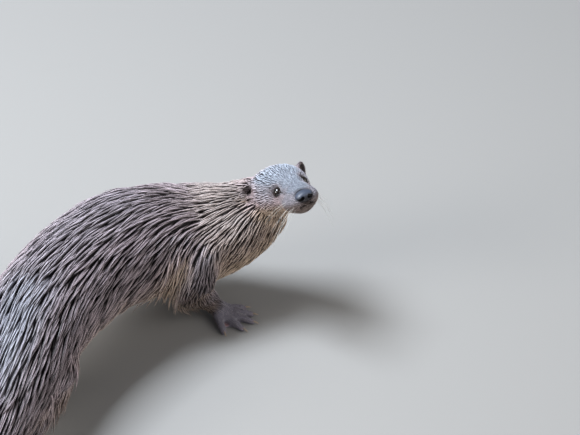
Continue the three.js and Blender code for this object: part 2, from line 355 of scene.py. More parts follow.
def fineness(points):
    """1 on the head and feet, 0 on the trunk."""
    ahead, _, _ = to_head(points).T
    head = (1 - ease(75 * MM, 100 * MM, distance(points, head_at))) * ease(-80, -60, ahead)
    tail = nearest_on(LINES["trunk"], points) > LINE_POINTS * 0.75
    feet = (1 - ease(ANKLE_HIGH * 0.8, ANKLE_HIGH, points[:, 2])) * ~tail
    return np.maximum(head, feet)


def weight_group(obj, name, weights):
    group = obj.vertex_groups.new(name=name)
    levels = np.round(np.asarray(weights) * 20).astype(int)
    for level in np.unique(levels[levels > 0]):
        members = np.flatnonzero(levels == level).tolist()
        group.add(members, level / 20, "REPLACE")
    return group.name


fine = fineness(points_of(skin.data))
soft = weight_group(skin, "soft", 1 - 0.75 * fine)
apply_modifier(skin, "SMOOTH", factor=0.5, iterations=36, vertex_group=soft)
thin = weight_group(skin, "thin", 1 - fine)
apply_modifier(skin, "DECIMATE", ratio=0.31, vertex_group=thin, use_collapse_triangulate=True)
print("thinned skin:", len(skin.data.vertices), "vertices")
fine = fineness(points_of(skin.data))
print("of them on the head and feet:", int((fine > 0.5).sum()))

# %% [markdown]
# ## Sinking the skin under the coat
#
# The solids reach out to the tips of the wet coat. The bare skin lies deeper: by seven
# millimetres on the trunk, less on the legs and tail, and hardly at all on the face and feet.
# One depth for the whole skin would be simpler, but it would swallow the ears and toes. So each
# point of the skin looks up the solid it came from, takes that part's depth, and shares it with
# its neighbours so that the depth changes softly.

# %% The depth of the coat
COAT_DEPTH = {  # millimetres from the skin to the tips, by the start of a node's name
    "tail_tip": 3.5, "tail_middle": 5, "tail_base": 6, "rump": 7, "loin": 7, "chest": 7,
    "neck": 6, "head": 1.8, "ear": 0.5, "leg": 4, "foot": 0.5,
}
HEAD_DEPTH = ([-80, -45, -10, 15], [3.5, 2.2, 1.2, 0.5])  # how far forward, and how deep


def part_of(node):
    """The key of COAT_DEPTH that a node's name starts with."""
    return next(key for key in COAT_DEPTH if node.startswith(key))


class Origins:
    """Says which solid each point of the skin came from."""

    def __init__(self, nodes):
        corners, faces, self.owner = [], [], []
        for number, node in enumerate(nodes):
            mesh = frame["nodes"][node].data
            start = len(corners)
            corners += [v.co.copy() for v in mesh.vertices]
            faces += [[start + v for v in face.vertices] for face in mesh.polygons]
            self.owner += [number] * len(mesh.polygons)
        self.owner = np.array(self.owner)
        self.tree = BVHTree.FromPolygons(corners, faces)

    def of(self, points):
        return self.owner[[self.tree.find_nearest(p)[2] for p in points]]


origins = Origins(FLESH)


def part_value(table, default, came_from):
    """A value for each point of the skin, by the part of the solid model that it came from."""
    per_node = np.array([table.get(part_of(node), default) for node in FLESH], float)
    return per_node[came_from]


def on_part(name, came_from):
    return part_value({name: 1}, 0, came_from) > 0


def coat_depth(places, came_from):
    """The depth of the coat over each point of the skin."""
    depth = part_value(COAT_DEPTH, 1, came_from)
    is_head = on_part("head", came_from)
    return np.where(is_head, np.interp(to_head(places)[:, 0], *HEAD_DEPTH), depth) * MM


places = points_of(skin.data)
edges = edges_of(skin.data)
depth = spread(coat_depth(places, origins.of(places)), edges, 14)
move_points(skin, places - spread(normals_of(skin.data), edges, 2) * (depth + SWELL)[:, None])
print("coat depth:", (depth.min() / MM).round(2), "to", (depth.max() / MM).round(2), "mm")

# %% [markdown]
# ## Sculpting the face
#
# The face is where an otter is recognised: small eyes with a dark wet rim, a broad flat nose,
# full whisker pads and small round ears low on the sides. These forms are a few millimetres
# across, so the mesh is first subdivided there: on the muzzle and round the eyes, again on the
# lids, and on the ears and along the mouth. Then the points are moved by small formulas, as with
# a sculpting brush, because a formula is mirrored by itself and is corrected by one number.

# %% Make the mesh finer where the detail is
def subdivide_where(obj, chosen):
    """Cuts each chosen face in four. chosen takes face centres and gives true or false."""
    mesh = obj.data
    picked = chosen(rows_of(mesh.polygons, "center"))
    select_only(obj)
    bpy.ops.object.mode_set(mode="EDIT")
    bpy.ops.mesh.select_mode(type="FACE")
    bpy.ops.mesh.select_all(action="DESELECT")
    bpy.ops.object.mode_set(mode="OBJECT")
    mesh.polygons.foreach_set("select", picked)
    bpy.ops.object.mode_set(mode="EDIT")
    bpy.ops.mesh.subdivide(number_cuts=1, smoothness=0.3)
    bpy.ops.mesh.select_all(action="SELECT")
    bpy.ops.mesh.quads_convert_to_tris()
    bpy.ops.object.mode_set(mode="OBJECT")
    return int(picked.sum())


def on_muzzle(points):
    ahead, _, up = to_head(points).T
    return (ahead > 2) & (up < 2) & (distance(points, head_at) < 60 * MM)


NOSE = {"ahead": 36.5, "up": -10, "deep": 8.0, "wide": 13.6, "high": 9.2}  # millimetres, head axes
LIPS = [(45, 0, -16.5), (43, 0, -21), (39, 8, -21.5), (29, 16, -24), (17, 20, -26.5), (6, 22, -28)]


def off_segment(points, start, end):
    """How far each point is from a straight stroke, and how far along it, from 0 to 1."""
    run = end - start
    share = np.clip((points - start) @ run / (run @ run), 0, 1)
    return distance(points, start + run * share[:, None]), share


def off_lips(points):
    """Millimetres from each point to the line between the lips, on either side."""
    local = to_head(points)
    local[:, 1] = np.abs(local[:, 1])
    line = np.array(LIPS, float)
    strokes = [off_segment(local, start, end)[0] for start, end in zip(line, line[1:])]
    return np.min(strokes, axis=0)


FINER = {  # which points lie where the mesh is cut finer, in this order
    "muzzle and eyes": lambda p: on_muzzle(p) | (from_eyes(p) < 19 * MM),
    "lids": lambda p: from_eyes(p) < 12 * MM,
    "ears": lambda p: from_ears(p) < 15 * MM,
    "lips": lambda p: off_lips(p) < 4,
}
for place, chosen in FINER.items():
    print(place + ":", subdivide_where(skin, chosen), "faces cut")

# %% Open the lids round the eyes
LID = {"wide": 62, "high": 56, "rim": 7, "blend": 36}  # angles in degrees, seen from the eyeball
LID_STANDS = 0.75 * MM  # the rim stands this far off the eyeball
EYES_TURN = 0.28  # how much the eyes look forward and up, against straight out of the skin
SOCKET_SINKS = 0.5 * MM  # the skin inside the lids stays this far below the eyeball


def eye_axis(side, places, normals):
    """The way an eye looks: out of the skin round it, and somewhat forward and up."""
    near = distance(places, eye_at[side]) < 13 * MM
    outward = (places - eye_at[side]) @ (head_left if side == "left" else -head_left) > 0
    out = unit(normals[near & outward].mean(axis=0))
    return unit(out + EYES_TURN * (head_forward + head_up))


def open_lids(places, side, axis):
    """Moves the skin round one eye, and gives 1 on the rim of the lids."""
    from_eye = places - eye_at[side]
    radius = np.linalg.norm(from_eye, axis=1)
    way = unit(from_eye)
    angle = np.degrees(np.arccos(np.clip(way @ axis, -1, 1)))
    front = unit(head_forward - axis * (head_forward @ axis))
    over = np.cross(axis, front) * (1 if side == "right" else -1)
    along, across = way @ front, way @ over
    round_it = np.arctan2(across, along)
    wide, high = np.cos(round_it) / LID["wide"], np.sin(round_it) / LID["high"]
    edge = 1 / np.sqrt(wide**2 + high**2)
    past = angle - edge
    inside = EYE_RADIUS - SOCKET_SINKS
    rim = EYE_RADIUS + LID_STANDS
    shaped = inside + (rim - inside) * ease(-4, 4, past)
    keep = ease(LID["rim"], LID["blend"], past)
    wanted = shaped * (1 - keep) + np.maximum(radius, rim) * keep
    near = radius < EYE_RADIUS * 3
    out = np.where(near, wanted, radius)
    mask = np.where(near, ease(-6, 0, past) * (1 - ease(5, 15, past)), 0)
    return eye_at[side] + way * out[:, None], mask


places = points_of(skin.data)
normals = normals_of(skin.data)
lid_rim = np.zeros(len(places))
EYE_AXES = {side: eye_axis(side, places, normals) for side in eye_at}
for side, axis in EYE_AXES.items():
    places, mask = open_lids(places, side, axis)
    lid_rim = np.maximum(lid_rim, mask)
    print(side, "eye looks", (HEAD_AXES @ axis).round(2), "forward, left, up")
move_points(skin, places)

# %% Seat the nose, part the lips and hollow the ears
LIP_GROOVE = {"radius": 1.7, "depth": 2.3}
EAR_OPENS = math.radians(35)  # how far the ear's hollow faces outwards from straight ahead
EAR = {"radius": 8.6, "depth": 7.0, "rim": 1.6, "swell": 2.2}  # millimetres
PAD = {"middle": (27, 16, -15), "radii": (11, 8, 7), "swell": 3.0}


def off_nose(points):
    """0 straight behind the middle of the nose pad, and 1 at its edge."""
    _, aside, up = to_head(points).T
    return np.hypot(aside / NOSE["wide"], (up - NOSE["up"]) / NOSE["high"])


def seat_nose(points):
    """Pushes the skin behind the nose pad, so that the nostrils can be hollow."""
    push = 7 * (1 - ease(0.72, 0.98, off_nose(points))) * ease(28, 34, to_head(points)[:, 0])
    return points - head_forward * push[:, None] * MM


def shape_ear(points, normals, side):
    """How far each point of an ear moves, and 1 inside its hollow."""
    ear = centre_of("ear_" + side)
    aside = head_left if side == "left" else -head_left
    opens = head_forward * math.cos(EAR_OPENS) + aside * math.sin(EAR_OPENS)
    off = (points - ear) / MM
    ahead = off @ opens
    outward = off - ahead[:, None] * opens
    from_axis = np.linalg.norm(outward, axis=1)
    on_ear = ease(-10, -5, ahead) * (ahead < 9)
    facing = ease(-0.1, 0.4, normals @ opens) * on_ear
    inside = (1 - ease(0.35, 1.0, from_axis / EAR["radius"])) * facing
    ring = np.exp(-(((from_axis - EAR["radius"] - 1.5) / 1.6) ** 2)) * facing
    push = EAR["rim"] * ring - EAR["depth"] * inside
    swell = EAR["swell"] * np.exp(-(((from_axis - EAR["radius"]) / 3) ** 2)) * on_ear
    return (opens * push[:, None] + unit(outward) * swell[:, None]) * MM, inside


def fill_pads(points, normals):
    """Swells the two pads that hold the whiskers."""
    local = to_head(points)
    local[:, 1] = np.abs(local[:, 1])
    from_pad = np.linalg.norm((local - PAD["middle"]) / PAD["radii"], axis=1)
    return normals * (PAD["swell"] * np.exp(-from_pad**2) * MM)[:, None]


places = seat_nose(points_of(skin.data))
move_points(skin, places)
normals = normals_of(skin.data)
groove = np.exp(-((off_lips(places) / LIP_GROOVE["radius"]) ** 2))
places -= normals * (groove * LIP_GROOVE["depth"] * MM)[:, None]
places += fill_pads(places, normals)
in_ear = np.zeros(len(places))
for side in eye_at:
    move, inside = shape_ear(places, normals, side)
    places += move
    in_ear = np.maximum(in_ear, inside)
move_points(skin, places)
# Dark bare skin on the lid rims and the lips, and painted shade inside the hollows of the ears.
bare_skin_and_ear_shade = np.max([lid_rim, groove * 0.8, in_ear], axis=0)
print("points inside the ears:", int((in_ear > 0.5).sum()))
print("points on the lips:", int((groove > 0.5).sum()))

# %% [markdown]
# ## The lie of the coat
#
# Each point of the skin gets the direction in which its hair lies: along the nearest line, away
# from the nose, and on the flanks partly downhill, because water runs down the coat and combs
# it. The directions are then shared between neighbours, so that the flow turns smoothly from
# the neck into the shoulder and down the leg. Hair curves could be combed by hand instead, but
# a field of directions serves every layer of the coat at once.

# %% The direction of the hair at each point of the skin
TUFT_BEHIND = 33 * MM  # from the line of the upper arm to the loose tuft behind it
ARM_TURN, ARM_NEAR, ARM_FAR = 0.85, 32 * MM, 56 * MM  # how much, and how near, it turns the hair
DOWNHILL = {"rump": 0.2, "loin": 0.38, "chest": 0.5, "neck": 0.5, "head": 0.2}
FLOW_STEPS, FLOW_ROUNDS = 4, 15  # it is laid flat on the skin again after each step of rounds


def line_of(node):
    """The name of the line that the hair of a part follows."""
    leg = next((leg for leg in LEGS if leg in node), None)
    return leg or ("head" if node.startswith(("head", "ear")) else "trunk")


def off_arm(leg, points):
    """How far each point is from the rear of an upper arm, where a loose tuft grows."""
    line = LINES[leg]["places"]
    rear = unit((line[LINE_POINTS // 2] - line[-1]) * [1, 1, 0])
    arm = line[LINE_POINTS // 12 : LINE_POINTS // 3 : 6] + rear * TUFT_BEHIND
    return np.linalg.norm(points[:, None] - arm, axis=2).min(axis=1)


def hair_flow(places, normals):
    """The way of the nearest line, turned down on the arms and flanks, and out on the ears."""
    way = np.zeros_like(places)
    for name, line in LINES.items():
        mine = follows == name
        way[mine] = line["way"][nearest_on(line, places[mine])]
    for leg in LEGS[:2]:
        turn = ARM_TURN - ARM_TURN * ease(ARM_NEAR, ARM_FAR, off_arm(leg, places))[:, None]
        down_arm = LINES[leg]["way"][LINE_POINTS // 6]
        way = way * (1 - turn) + down_arm * turn
    for node, side in (("ear_left", 1), ("ear_right", -1)):
        way[came_from == FLESH.index(node)] = head_left * side + head_up - head_forward * 0.3
    flank = 1 - normals[:, 2] ** 2
    way[:, 2] -= part_value(DOWNHILL, 0.1, came_from) * flank
    return way


def flatten(ways, normals):
    """The part of each direction that lies in the skin."""
    return unit(ways - normals * (ways * normals).sum(axis=1, keepdims=True))


places = points_of(skin.data)
edges = edges_of(skin.data)
normals = unit(spread(normals_of(skin.data), edges, 3))
came_from = origins.of(places)
follows = np.array([line_of(node) for node in FLESH])[came_from]
flow = flatten(hair_flow(places, normals), normals)
for _ in range(FLOW_STEPS):
    flow = flatten(spread(flow, edges, FLOW_ROUNDS), normals)
print("hair lies down on average by", (-flow[:, 2].mean()).round(2))

# %% [markdown]
# ## The markings
#
# A wet otter is brown grey above, and warm buff on the throat, cheeks, belly and elbows. Where
# the coat faces up it is painted cooler and paler, a painted sheen of the open sky, most on the
# head, the feet and legs, and the top of the rump. Each point of the skin holds how buff it is,
# how much painted sky sheen it has and how pale it is, and every lock of hair takes all three from
# the place of its root, so that skin and coat carry the same markings. A painted picture could
# hold them too, but it would need a flat map of the skin, and values on the points don't.

# %% How buff the coat is, how pale, and how much painted sky sheen it has at each point
# The tuft behind an elbow is warm and pale, and fades from its near to its far distance.
ELBOW = {"buff": 0.95, "tone": 0.85, "near": 24 * MM, "far": 42 * MM}
TONE = {"neck": 2.2, "ear": 0.7, "chest": 1.1, "loin": 1.0, "rump": 0.8, "tail_base": 0.75,
        "tail_middle": 0.75, "tail_tip": 0.75, "leg": 0.7}  # how pale the hair is, against 1
BUFF = {"neck": 0.65, "chest": 0.1, "leg": 0.2, "foot": 0.0, "ear": 0.0}
# Painted sky sheen, by part: how much cooler the coat is where it faces up.
SKY_SHEEN_BY_PART = {"neck": 0.3, "leg": 0.45, "foot": 0.5}
# More painted sky sheen where the trunk faces straight up.
SHEEN = {"rump": 0.6, "loin": 0.2, "tail_base": 0.3}  # how cool the top of the trunk is


def head_markings(places, upness):
    """Buff, painted sky sheen and tone of the head: blue grey sheen on top, brown round the eyes
    and mouth.
    """
    ahead, aside, up = to_head(places).T
    aside = np.abs(aside)
    from_eye = from_eyes(places) / MM
    crown = ease(0, 14, up) * (1 - ease(26, 40, aside)) * ease(-75, -35, ahead)
    snout = ease(-12, 4, ahead) * ease(-9, 0, up) * (1 - ease(14, 22, aside))
    cheek = 0.6 * ease(-45, -25, ahead) * (1 - ease(-6, 2, ahead)) * ease(-24, -10, up)
    pads = 0.5 * ease(12, 22, ahead) * ease(-20, -12, up)
    eye_ring = ease(6, 8, from_eye) * (1 - ease(9, 12.5, from_eye))
    lips = ease(12, 24, ahead) * (1 - ease(-22, -15, up))
    # Painted sky sheen: blue grey on the crown, snout and whisker pads, and on the cheeks where
    # they face up. The crown's paler tone belongs to the same painted sheen.
    sky_sheen = np.max([crown, snout, cheek * upness, pads], axis=0) * (1 - 0.6 * eye_ring)
    buff = 0.15 + 0.75 * ease(-12, -26, up) * (1 - 0.5 * lips)
    side_face = ease(4, -8, up) * (1 - ease(8, 20, ahead))
    mouth = 1 - ease(1.0, 3.0, off_lips(places))
    tone = 1.25 + 0.2 * crown + 0.9 * side_face - 0.5 * eye_ring - 0.3 * lips - 1.2 * mouth
    return buff, sky_sheen, tone


def markings(places, normals):
    """Rows of buff, painted sky sheen and tone for each point of the skin."""
    buff = part_value(BUFF, 0.05, came_from) + 0.6 * ease(0.25, -0.75, normals[:, 2])
    elbows = np.zeros(len(places))
    for leg in LEGS[:2]:
        here = 1 - ease(ELBOW["near"], ELBOW["far"], off_arm(leg, places))
        elbows = np.maximum(elbows, here)
    buff = np.maximum(buff, ELBOW["buff"] * elbows)
    # Painted sky sheen: the coat is cooler where it faces up, more so on the very top of the rump,
    # loin and tail, and paler with the sheen; where the trunk faces straight up, the tone is
    # lowered a little.
    upness = ease(-0.1, 0.7, normals[:, 2])
    on_top = ease(0.72, 0.97, normals[:, 2])
    sky_sheen = upness * part_value(SKY_SHEEN_BY_PART, 0.12, came_from) + on_top * part_value(SHEEN, 0.0, came_from)
    tone = part_value(TONE, 1.0, came_from) + 0.5 * sky_sheen - 0.25 * on_top
    tone += ELBOW["tone"] * elbows
    is_head = on_part("head", came_from)
    on_head = head_markings(places, upness)
    return np.column_stack([
        np.clip(np.where(is_head, head, body), 0, 2)
        for head, body in zip(on_head, (buff, sky_sheen, tone))
    ])


marks = spread(markings(places, normals), edges, 14)
print("mean buff, cool and tone:", marks.mean(axis=0).round(2))

# %% [markdown]
# ## Growing the wet locks
#
# Wet hairs don't lie one by one: they cling together in flat pointed locks that overlap like
# long scales. Each lock is traced over the skin from its root along the flow. It starts just
# under the skin, rises over the locks before it, and its tip comes down on the next ones. Finer
# strands lie on it and gather towards its tip, painted pale as highlights, and a lower layer of
# near-black locks fills the gaps between with painted shade. Loose tufts hang behind the elbows
# and before the thighs.
#
# Roots are picked from many random places, one by one, and each keeps the others at a distance
# that is longer along the hair than across it. So the locks lie side by side, without rows.

# %% Sizes of the locks
LOCKS = {  # millimetres: length, width, distance between roots across the hair and along it
    "tail_tip": (22, 3.2, 3.0, 7), "tail_middle": (28, 3.8, 3.5, 9),
    "tail_base": (36, 4.6, 4.3, 12), "rump": (56, 4.8, 3.9, 16), "loin": (54, 4.6, 3.7, 15),
    "chest": (44, 4.2, 3.5, 13), "neck": (32, 3.4, 2.8, 9), "head": (7, 1.0, 1.1, 1.6),
    "ear": (4, 0.8, 1.0, 1.3), "leg": (22, 3.2, 2.9, 7), "foot": (4, 0.7, 1.3, 2.0),
}
HEAD_LOCKS = {  # the same four sizes on the head, by how far forward of the eyes
    -84: (24, 2.9, 2.5, 7.5), -50: (18, 2.3, 2.1, 6.0), -20: (13, 1.7, 1.6, 4.6),
    2: (8, 1.0, 1.0, 2.8), 22: (4.5, 0.6, 0.7, 1.6),
}
LONG_BACK = 1.25  # how much longer the hair is on top of the trunk
LENGTH, WIDTH, ACROSS, ALONG = range(4)


def sizes_of_locks():
    """The four sizes for each point of the skin, changing softly from part to part."""
    sizes = np.array([LOCKS[part_of(node)] for node in FLESH], float)[came_from]
    is_head = on_part("head", came_from)
    ahead = to_head(places)[:, 0]
    for column, values in enumerate(zip(*HEAD_LOCKS.values())):
        on_head = np.interp(ahead, list(HEAD_LOCKS), values)
        sizes[:, column] = np.where(is_head, on_head, sizes[:, column])
    on_top = ease(0.55, 0.95, normals[:, 2]) * ~is_head
    sizes[:, LENGTH] *= 1 + (LONG_BACK - 1) * on_top
    low_leg = on_part("leg", came_from) * (1 - ease(28 * MM, 62 * MM, places[:, 2]))
    sizes *= 1 - 0.45 * low_leg[:, None]
    sizes *= 0.42 + 0.58 * ease(9 * MM, 22 * MM, from_ears(places))[:, None]
    return spread(sizes, edges, 12) * MM


skin.data.calc_loop_triangles()
corners = np.empty(len(skin.data.loop_triangles) * 3, np.int32)
skin.data.loop_triangles.foreach_get("vertices", corners)
triangles = corners.reshape(-1, 3)
skin_tree = BVHTree.FromPolygons([Vector(p) for p in places], triangles.tolist())
face_part = came_from[triangles[:, 0]]
lock_sizes = sizes_of_locks()
depth_now = coat_depth(places, came_from)
print("the skin has", len(triangles), "triangles")


# %% Roots spread over the skin
def random_spots(faces, density):
    """Random places on these triangles, as many to each square metre as density says."""
    a, b, c = (places[triangles[faces, n]] for n in range(3))
    area = np.linalg.norm(np.cross(b - a, c - a), axis=1) / 2
    wanted = np.cumsum(area * density)
    picks = np.searchsorted(wanted, rng.random(int(wanted[-1])) * wanted[-1])
    u, v = rng.random((2, len(picks), 1))
    outside = u + v > 1
    u, v = np.where(outside, 1 - u, u), np.where(outside, 1 - v, v)
    return a[picks] + (b - a)[picks] * u + (c - a)[picks] * v


def skin_under(points):
    """The nearest place on the skin to each point, and a vertex of the skin there."""
    found = [skin_tree.find_nearest(p) for p in points]
    spots = np.array([f[0] for f in found])
    vertex = triangles[[f[2] for f in found], 0]
    return spots, vertex


def spaced_roots(faces, closer=1.0, tries=9):
    """Roots that keep their distance, shorter across the hair than along it."""
    gaps = lock_sizes[triangles[faces, 0]][:, [ACROSS, ALONG]] * closer
    spots = random_spots(faces, tries / gaps.prod(axis=1))
    _, vertex = skin_under(spots)
    ways, sizes = flow[vertex], lock_sizes[vertex] * closer
    tree = kd_tree(spots)
    kept, blocked = [], np.zeros(len(spots), bool)
    for i, spot in enumerate(spots):
        if blocked[i]:
            continue
        kept.append(i)
        near = [found[1] for found in tree.find_range(spot, sizes[i, ALONG])]
        off = spots[near] - spot
        along = off @ ways[i]
        across = np.linalg.norm(off - along[:, None] * ways[i], axis=1)
        blocked[near] |= (along / sizes[i, ALONG]) ** 2 + (across / sizes[i, ACROSS]) ** 2 < 1
    return spots[kept]


# %% Trace the locks along the flow
STATIONS = 9
SWAY = math.radians(4)  # how far the flow wanders
SWAY_WAVES = [(76, 0.0), (122, 1.7), (194, 4.1)]  # radians in each metre, and where they start
RISE = ([0, 0.12, 0.35, 0.7, 0.88, 1], [-0.12, 0.3, 0.68, 1.0, 0.98, 0.8])  # height along a lock


def sway_at(points, offsets):
    """A slow wander of the flow, from three waves in different directions."""
    waves = sum(
        np.sin(points @ np.roll([1.0, 0.7, -0.5], n) * count + start)
        for n, (count, start) in enumerate(SWAY_WAVES)
    )
    return SWAY * (waves / 2 + offsets)


def turned(ways, axes, angles):
    return ways * np.cos(angles)[:, None] + np.cross(axes, ways) * np.sin(angles)[:, None]


def even_out(rows):
    """Smooths the places of each path, and leaves its ends."""
    rows = rows.copy()
    for _ in range(2):
        rows[:, 1:-1] = (rows[:, :-2] + 2 * rows[:, 1:-1] + rows[:, 2:]) / 4
    return rows


def directions_on(paths, upward):
    """The way that each path runs at each of its places, and the way to its left."""
    way = unit(np.gradient(paths, axis=1))
    return way, unit(np.cross(upward, way))


def trace(roots, lengths, height):
    """The middle line of each lock, lifted off the skin, and the way out of the skin there."""
    offsets = rng.normal(0, 0.8, len(roots))
    crown = height * rng.uniform(0.62, 1.1, len(roots))
    step = (lengths / (STATIONS - 1))[:, None]
    spots, vertex = skin_under(roots)
    lifted, upward = [], []
    for share in np.linspace(0, 1, STATIONS):
        if share:
            way = turned(flow[vertex], normals[vertex], sway_at(spots, offsets))
            spots, vertex = skin_under(spots + way * step)
        rise = np.interp(share, *RISE) * crown * depth_now[vertex]
        lifted.append(spots + normals[vertex] * rise[:, None])
        upward.append(normals[vertex])
    return even_out(np.stack(lifted, axis=1)), unit(even_out(np.stack(upward, axis=1)))


# %% Finer strands on each lock
THICKNESS = 0.4  # a lock's height at its ridge, for each unit of its width


def strands_on(paths, upward, widths, each):
    """Paths of strands that lie on the locks, and which lock each one lies on."""
    lock = np.repeat(np.arange(len(paths)), each)
    first = rng.uniform(0, 0.4, len(lock))
    last = np.minimum(first + rng.uniform(0.42, 0.7, len(lock)), 1)
    side = rng.uniform(-0.28, 0.28, len(lock))
    _, left = directions_on(paths, upward)
    strand_paths, strand_upward = [], []
    for share in np.linspace(0, 1, STATIONS):
        at = first + (last - first) * share
        low = np.minimum((at * (STATIONS - 1)).astype(int), STATIONS - 2)
        part = (at * (STATIONS - 1) - low)[:, None]
        here, out, across = (
            table[lock, low] * (1 - part) + table[lock, low + 1] * part
            for table in (paths, upward, left)
        )
        aside = side * (1 - 0.8 * at**1.5)
        over = THICKNESS * widths[lock] * (1 - 2.6 * aside**2)
        over += 0.35 * MM * math.sin(math.pi * share) - 0.3 * MM * (1 - share) ** 4
        strand_paths.append(here + across * (aside * widths[lock])[:, None] + out * over[:, None])
        strand_upward.append(out)
    return np.stack(strand_paths, axis=1), np.stack(strand_upward, axis=1), lock


# %% [markdown]
# ## Turning paths into solid locks
#
# Thousands of locks share one mesh. Their points and faces are worked out as arrays, for all of
# them at once, which is quick, and every lock comes out as a closed solid. Each point remembers
# where it is on its lock, from edge to edge and from root to tip, so that the material can paint
# shade at the root and edges and a highlight along the ridge, and draw fine hairs along it. The
# OFBake map puts each lock on a small patch at its root's place, on an unwrap of the body round
# its own line.

# %% Faces of one lock, repeated for all
PATCH = 0.003  # the width of a lock's patch on its map
TAPER = ([0, 0.1, 0.3, 0.6, 0.78, 0.9, 1], [0.5, 0.8, 1.0, 0.95, 0.7, 0.38, 0.0])
BROAD = [(0.5, 0.0), (0.3, 0.75), (0.0, 1.0), (-0.3, 0.75), (-0.5, 0.0), (0.0, -0.4)]
NARROW = [(0.5, 0.0), (0.0, 1.4), (-0.5, 0.0)]  # sections of a lock: across it, and up


def lock_faces(rings, sides):
    """The triangles of a spindle with a root point, its rings and a tip point."""
    def at(ring, side):
        return 1 + ring * sides + side % sides

    tip = 1 + rings * sides
    faces = [(0, at(0, s + 1), at(0, s)) for s in range(sides)]
    faces += [(tip, at(rings - 1, s), at(rings - 1, s + 1)) for s in range(sides)]
    for ring in range(rings - 1):
        for s in range(sides):
            faces.append((at(ring, s), at(ring, s + 1), at(ring + 1, s + 1)))
            faces.append((at(ring, s), at(ring + 1, s + 1), at(ring + 1, s)))
    return np.array(faces)


print("a lock of five rings has", len(lock_faces(5, len(BROAD))), "triangles")


def lock_points(paths, upward, widths, shares, section):
    """The points of every lock, with each one's place from edge to edge and root to tip."""
    way, left = directions_on(paths, upward)
    above = np.cross(way, left)
    rolls = rng.normal(0, math.radians(12), len(paths))
    cos, sin = np.cos(rolls)[:, None, None], np.sin(rolls)[:, None, None]
    left, above = left * cos + above * sin, above * cos - left * sin
    wide = (widths[:, None] * np.interp(shares, *TAPER))[..., None]
    rings = np.stack([
        paths + (left * aside + above * up * THICKNESS) * wide for aside, up in section
    ], axis=2)[:, 1:-1]
    count = len(paths)
    points = np.concatenate([
        paths[:, :1], rings.reshape(count, -1, 3), paths[:, -1:],
    ], axis=1)
    edge_to_edge = [0.5 - aside if up >= 0 else 0 for aside, up in section]
    across = np.concatenate([[0.5], np.tile(edge_to_edge, len(shares) - 2), [0.5]])
    along = np.concatenate([[0.0], np.repeat(shares[1:-1], len(section)), [1.0]])
    return points, across, along


# %% A mesh from arrays
def store_vectors(mesh, name, values):
    """Gives each point of a mesh three numbers that its material can read."""
    layer = mesh.attributes.new(name, "FLOAT_VECTOR", "POINT")
    layer.data.foreach_set("vector", np.asarray(values, np.float32).ravel())


def mesh_from_arrays(name, points, faces, vectors, bake_map):
    """An object whose points hold named vectors and whose corners hold the OFBake map."""
    mesh = bpy.data.meshes.new(name)
    mesh.vertices.add(len(points))
    mesh.vertices.foreach_set("co", points.astype(np.float32).ravel())
    mesh.loops.add(faces.size)
    mesh.loops.foreach_set("vertex_index", faces.astype(np.int32).ravel())
    mesh.polygons.add(len(faces))
    mesh.polygons.foreach_set("loop_start", np.arange(0, faces.size, 3, dtype=np.int32))
    mesh.update(calc_edges=True)
    for key, values in vectors.items():
        store_vectors(mesh, key, values)
    layer = mesh.uv_layers.new(name="OFBake")
    layer.uv.foreach_set("vector", bake_map[faces.ravel()].astype(np.float32).ravel())
    mesh.shade_smooth()
    obj = bpy.data.objects.new(name, mesh)
    bpy.context.scene.collection.objects.link(obj)
    return obj


def unwrap_round(line, points):
    """How far along a line each point is and the angle round it, both from 0 to 1."""
    nearest = nearest_on(line, points)
    way = line["way"][nearest]
    start = flatten(np.tile(line["side"], (len(points), 1)), way)
    out = points - line["places"][nearest]
    angle = np.arctan2((out * np.cross(way, start)).sum(axis=1), (out * start).sum(axis=1))
    return np.column_stack([nearest / LINE_POINTS, angle / (2 * math.pi) + 0.5])


def bake_places(roots, line_names):
    """Each root's place on its piece's map: one strip of the map for each line."""
    chart = np.zeros((len(roots), 2))
    strips = sorted(set(line_names))
    for number, name in enumerate(strips):
        mine = line_names == name
        flat = unwrap_round(LINES[name], roots[mine])
        low, high = flat[:, 0].min(), flat[:, 0].max()
        flat[:, 0] = (flat[:, 0] - low) / max(high - low, 1e-6)
        chart[mine, 0] = flat[:, 0]
        chart[mine, 1] = (number + 0.02 + 0.96 * flat[:, 1]) / len(strips)
    return PATCH + chart * (1 - 2 * PATCH)


def lock_mesh(name, paths, upward, widths, tone, rings, section):
    """One closed solid for each path. tone makes a layer paler or darker as a whole."""
    pick = np.round(np.linspace(0, STATIONS - 1, rings + 2)).astype(int)
    points, across, along = lock_points(
        paths[:, pick], upward[:, pick], widths, pick / (STATIONS - 1), section,
    )
    count, each = points.shape[:2]
    starts = np.arange(count)[:, None, None] * each
    faces = (lock_faces(rings, len(section))[None] + starts).reshape(-1, 3)
    strand = np.stack(np.broadcast_arrays(across, along, rng.random((count, 1))), axis=-1)
    _, vertex = skin_under(paths[:, 0])
    mark = marks[vertex] * [1, 1, tone]
    mark[:, 2] *= rng.uniform(0.8, 1.2, count)
    patch = np.column_stack([across - 0.5, along - 0.5]) * PATCH
    bake_map = bake_places(paths[:, 0], follows[vertex])[:, None] + patch[None]
    return mesh_from_arrays(
        name, points.reshape(-1, 3), faces,
        {"strand": strand.reshape(-1, 3), "mark": np.repeat(mark, each, axis=0)},
        bake_map.reshape(-1, 2),
    )


# %% Grow each piece of the coat
LONG_COAT = {  # piece: the parts it grows on, and how many strands lie on each lock
    "tail": (["tail_tip", "tail_middle", "tail_base"], 2), "rump": (["rump"], 3),
    "loin": (["loin"], 3), "chest": (["chest"], 3), "neck": (["neck"], 3), "legs": (["leg"], 2),
}
SHORT_COAT = {"head": ["head", "ear"], "feet": ["foot"]}
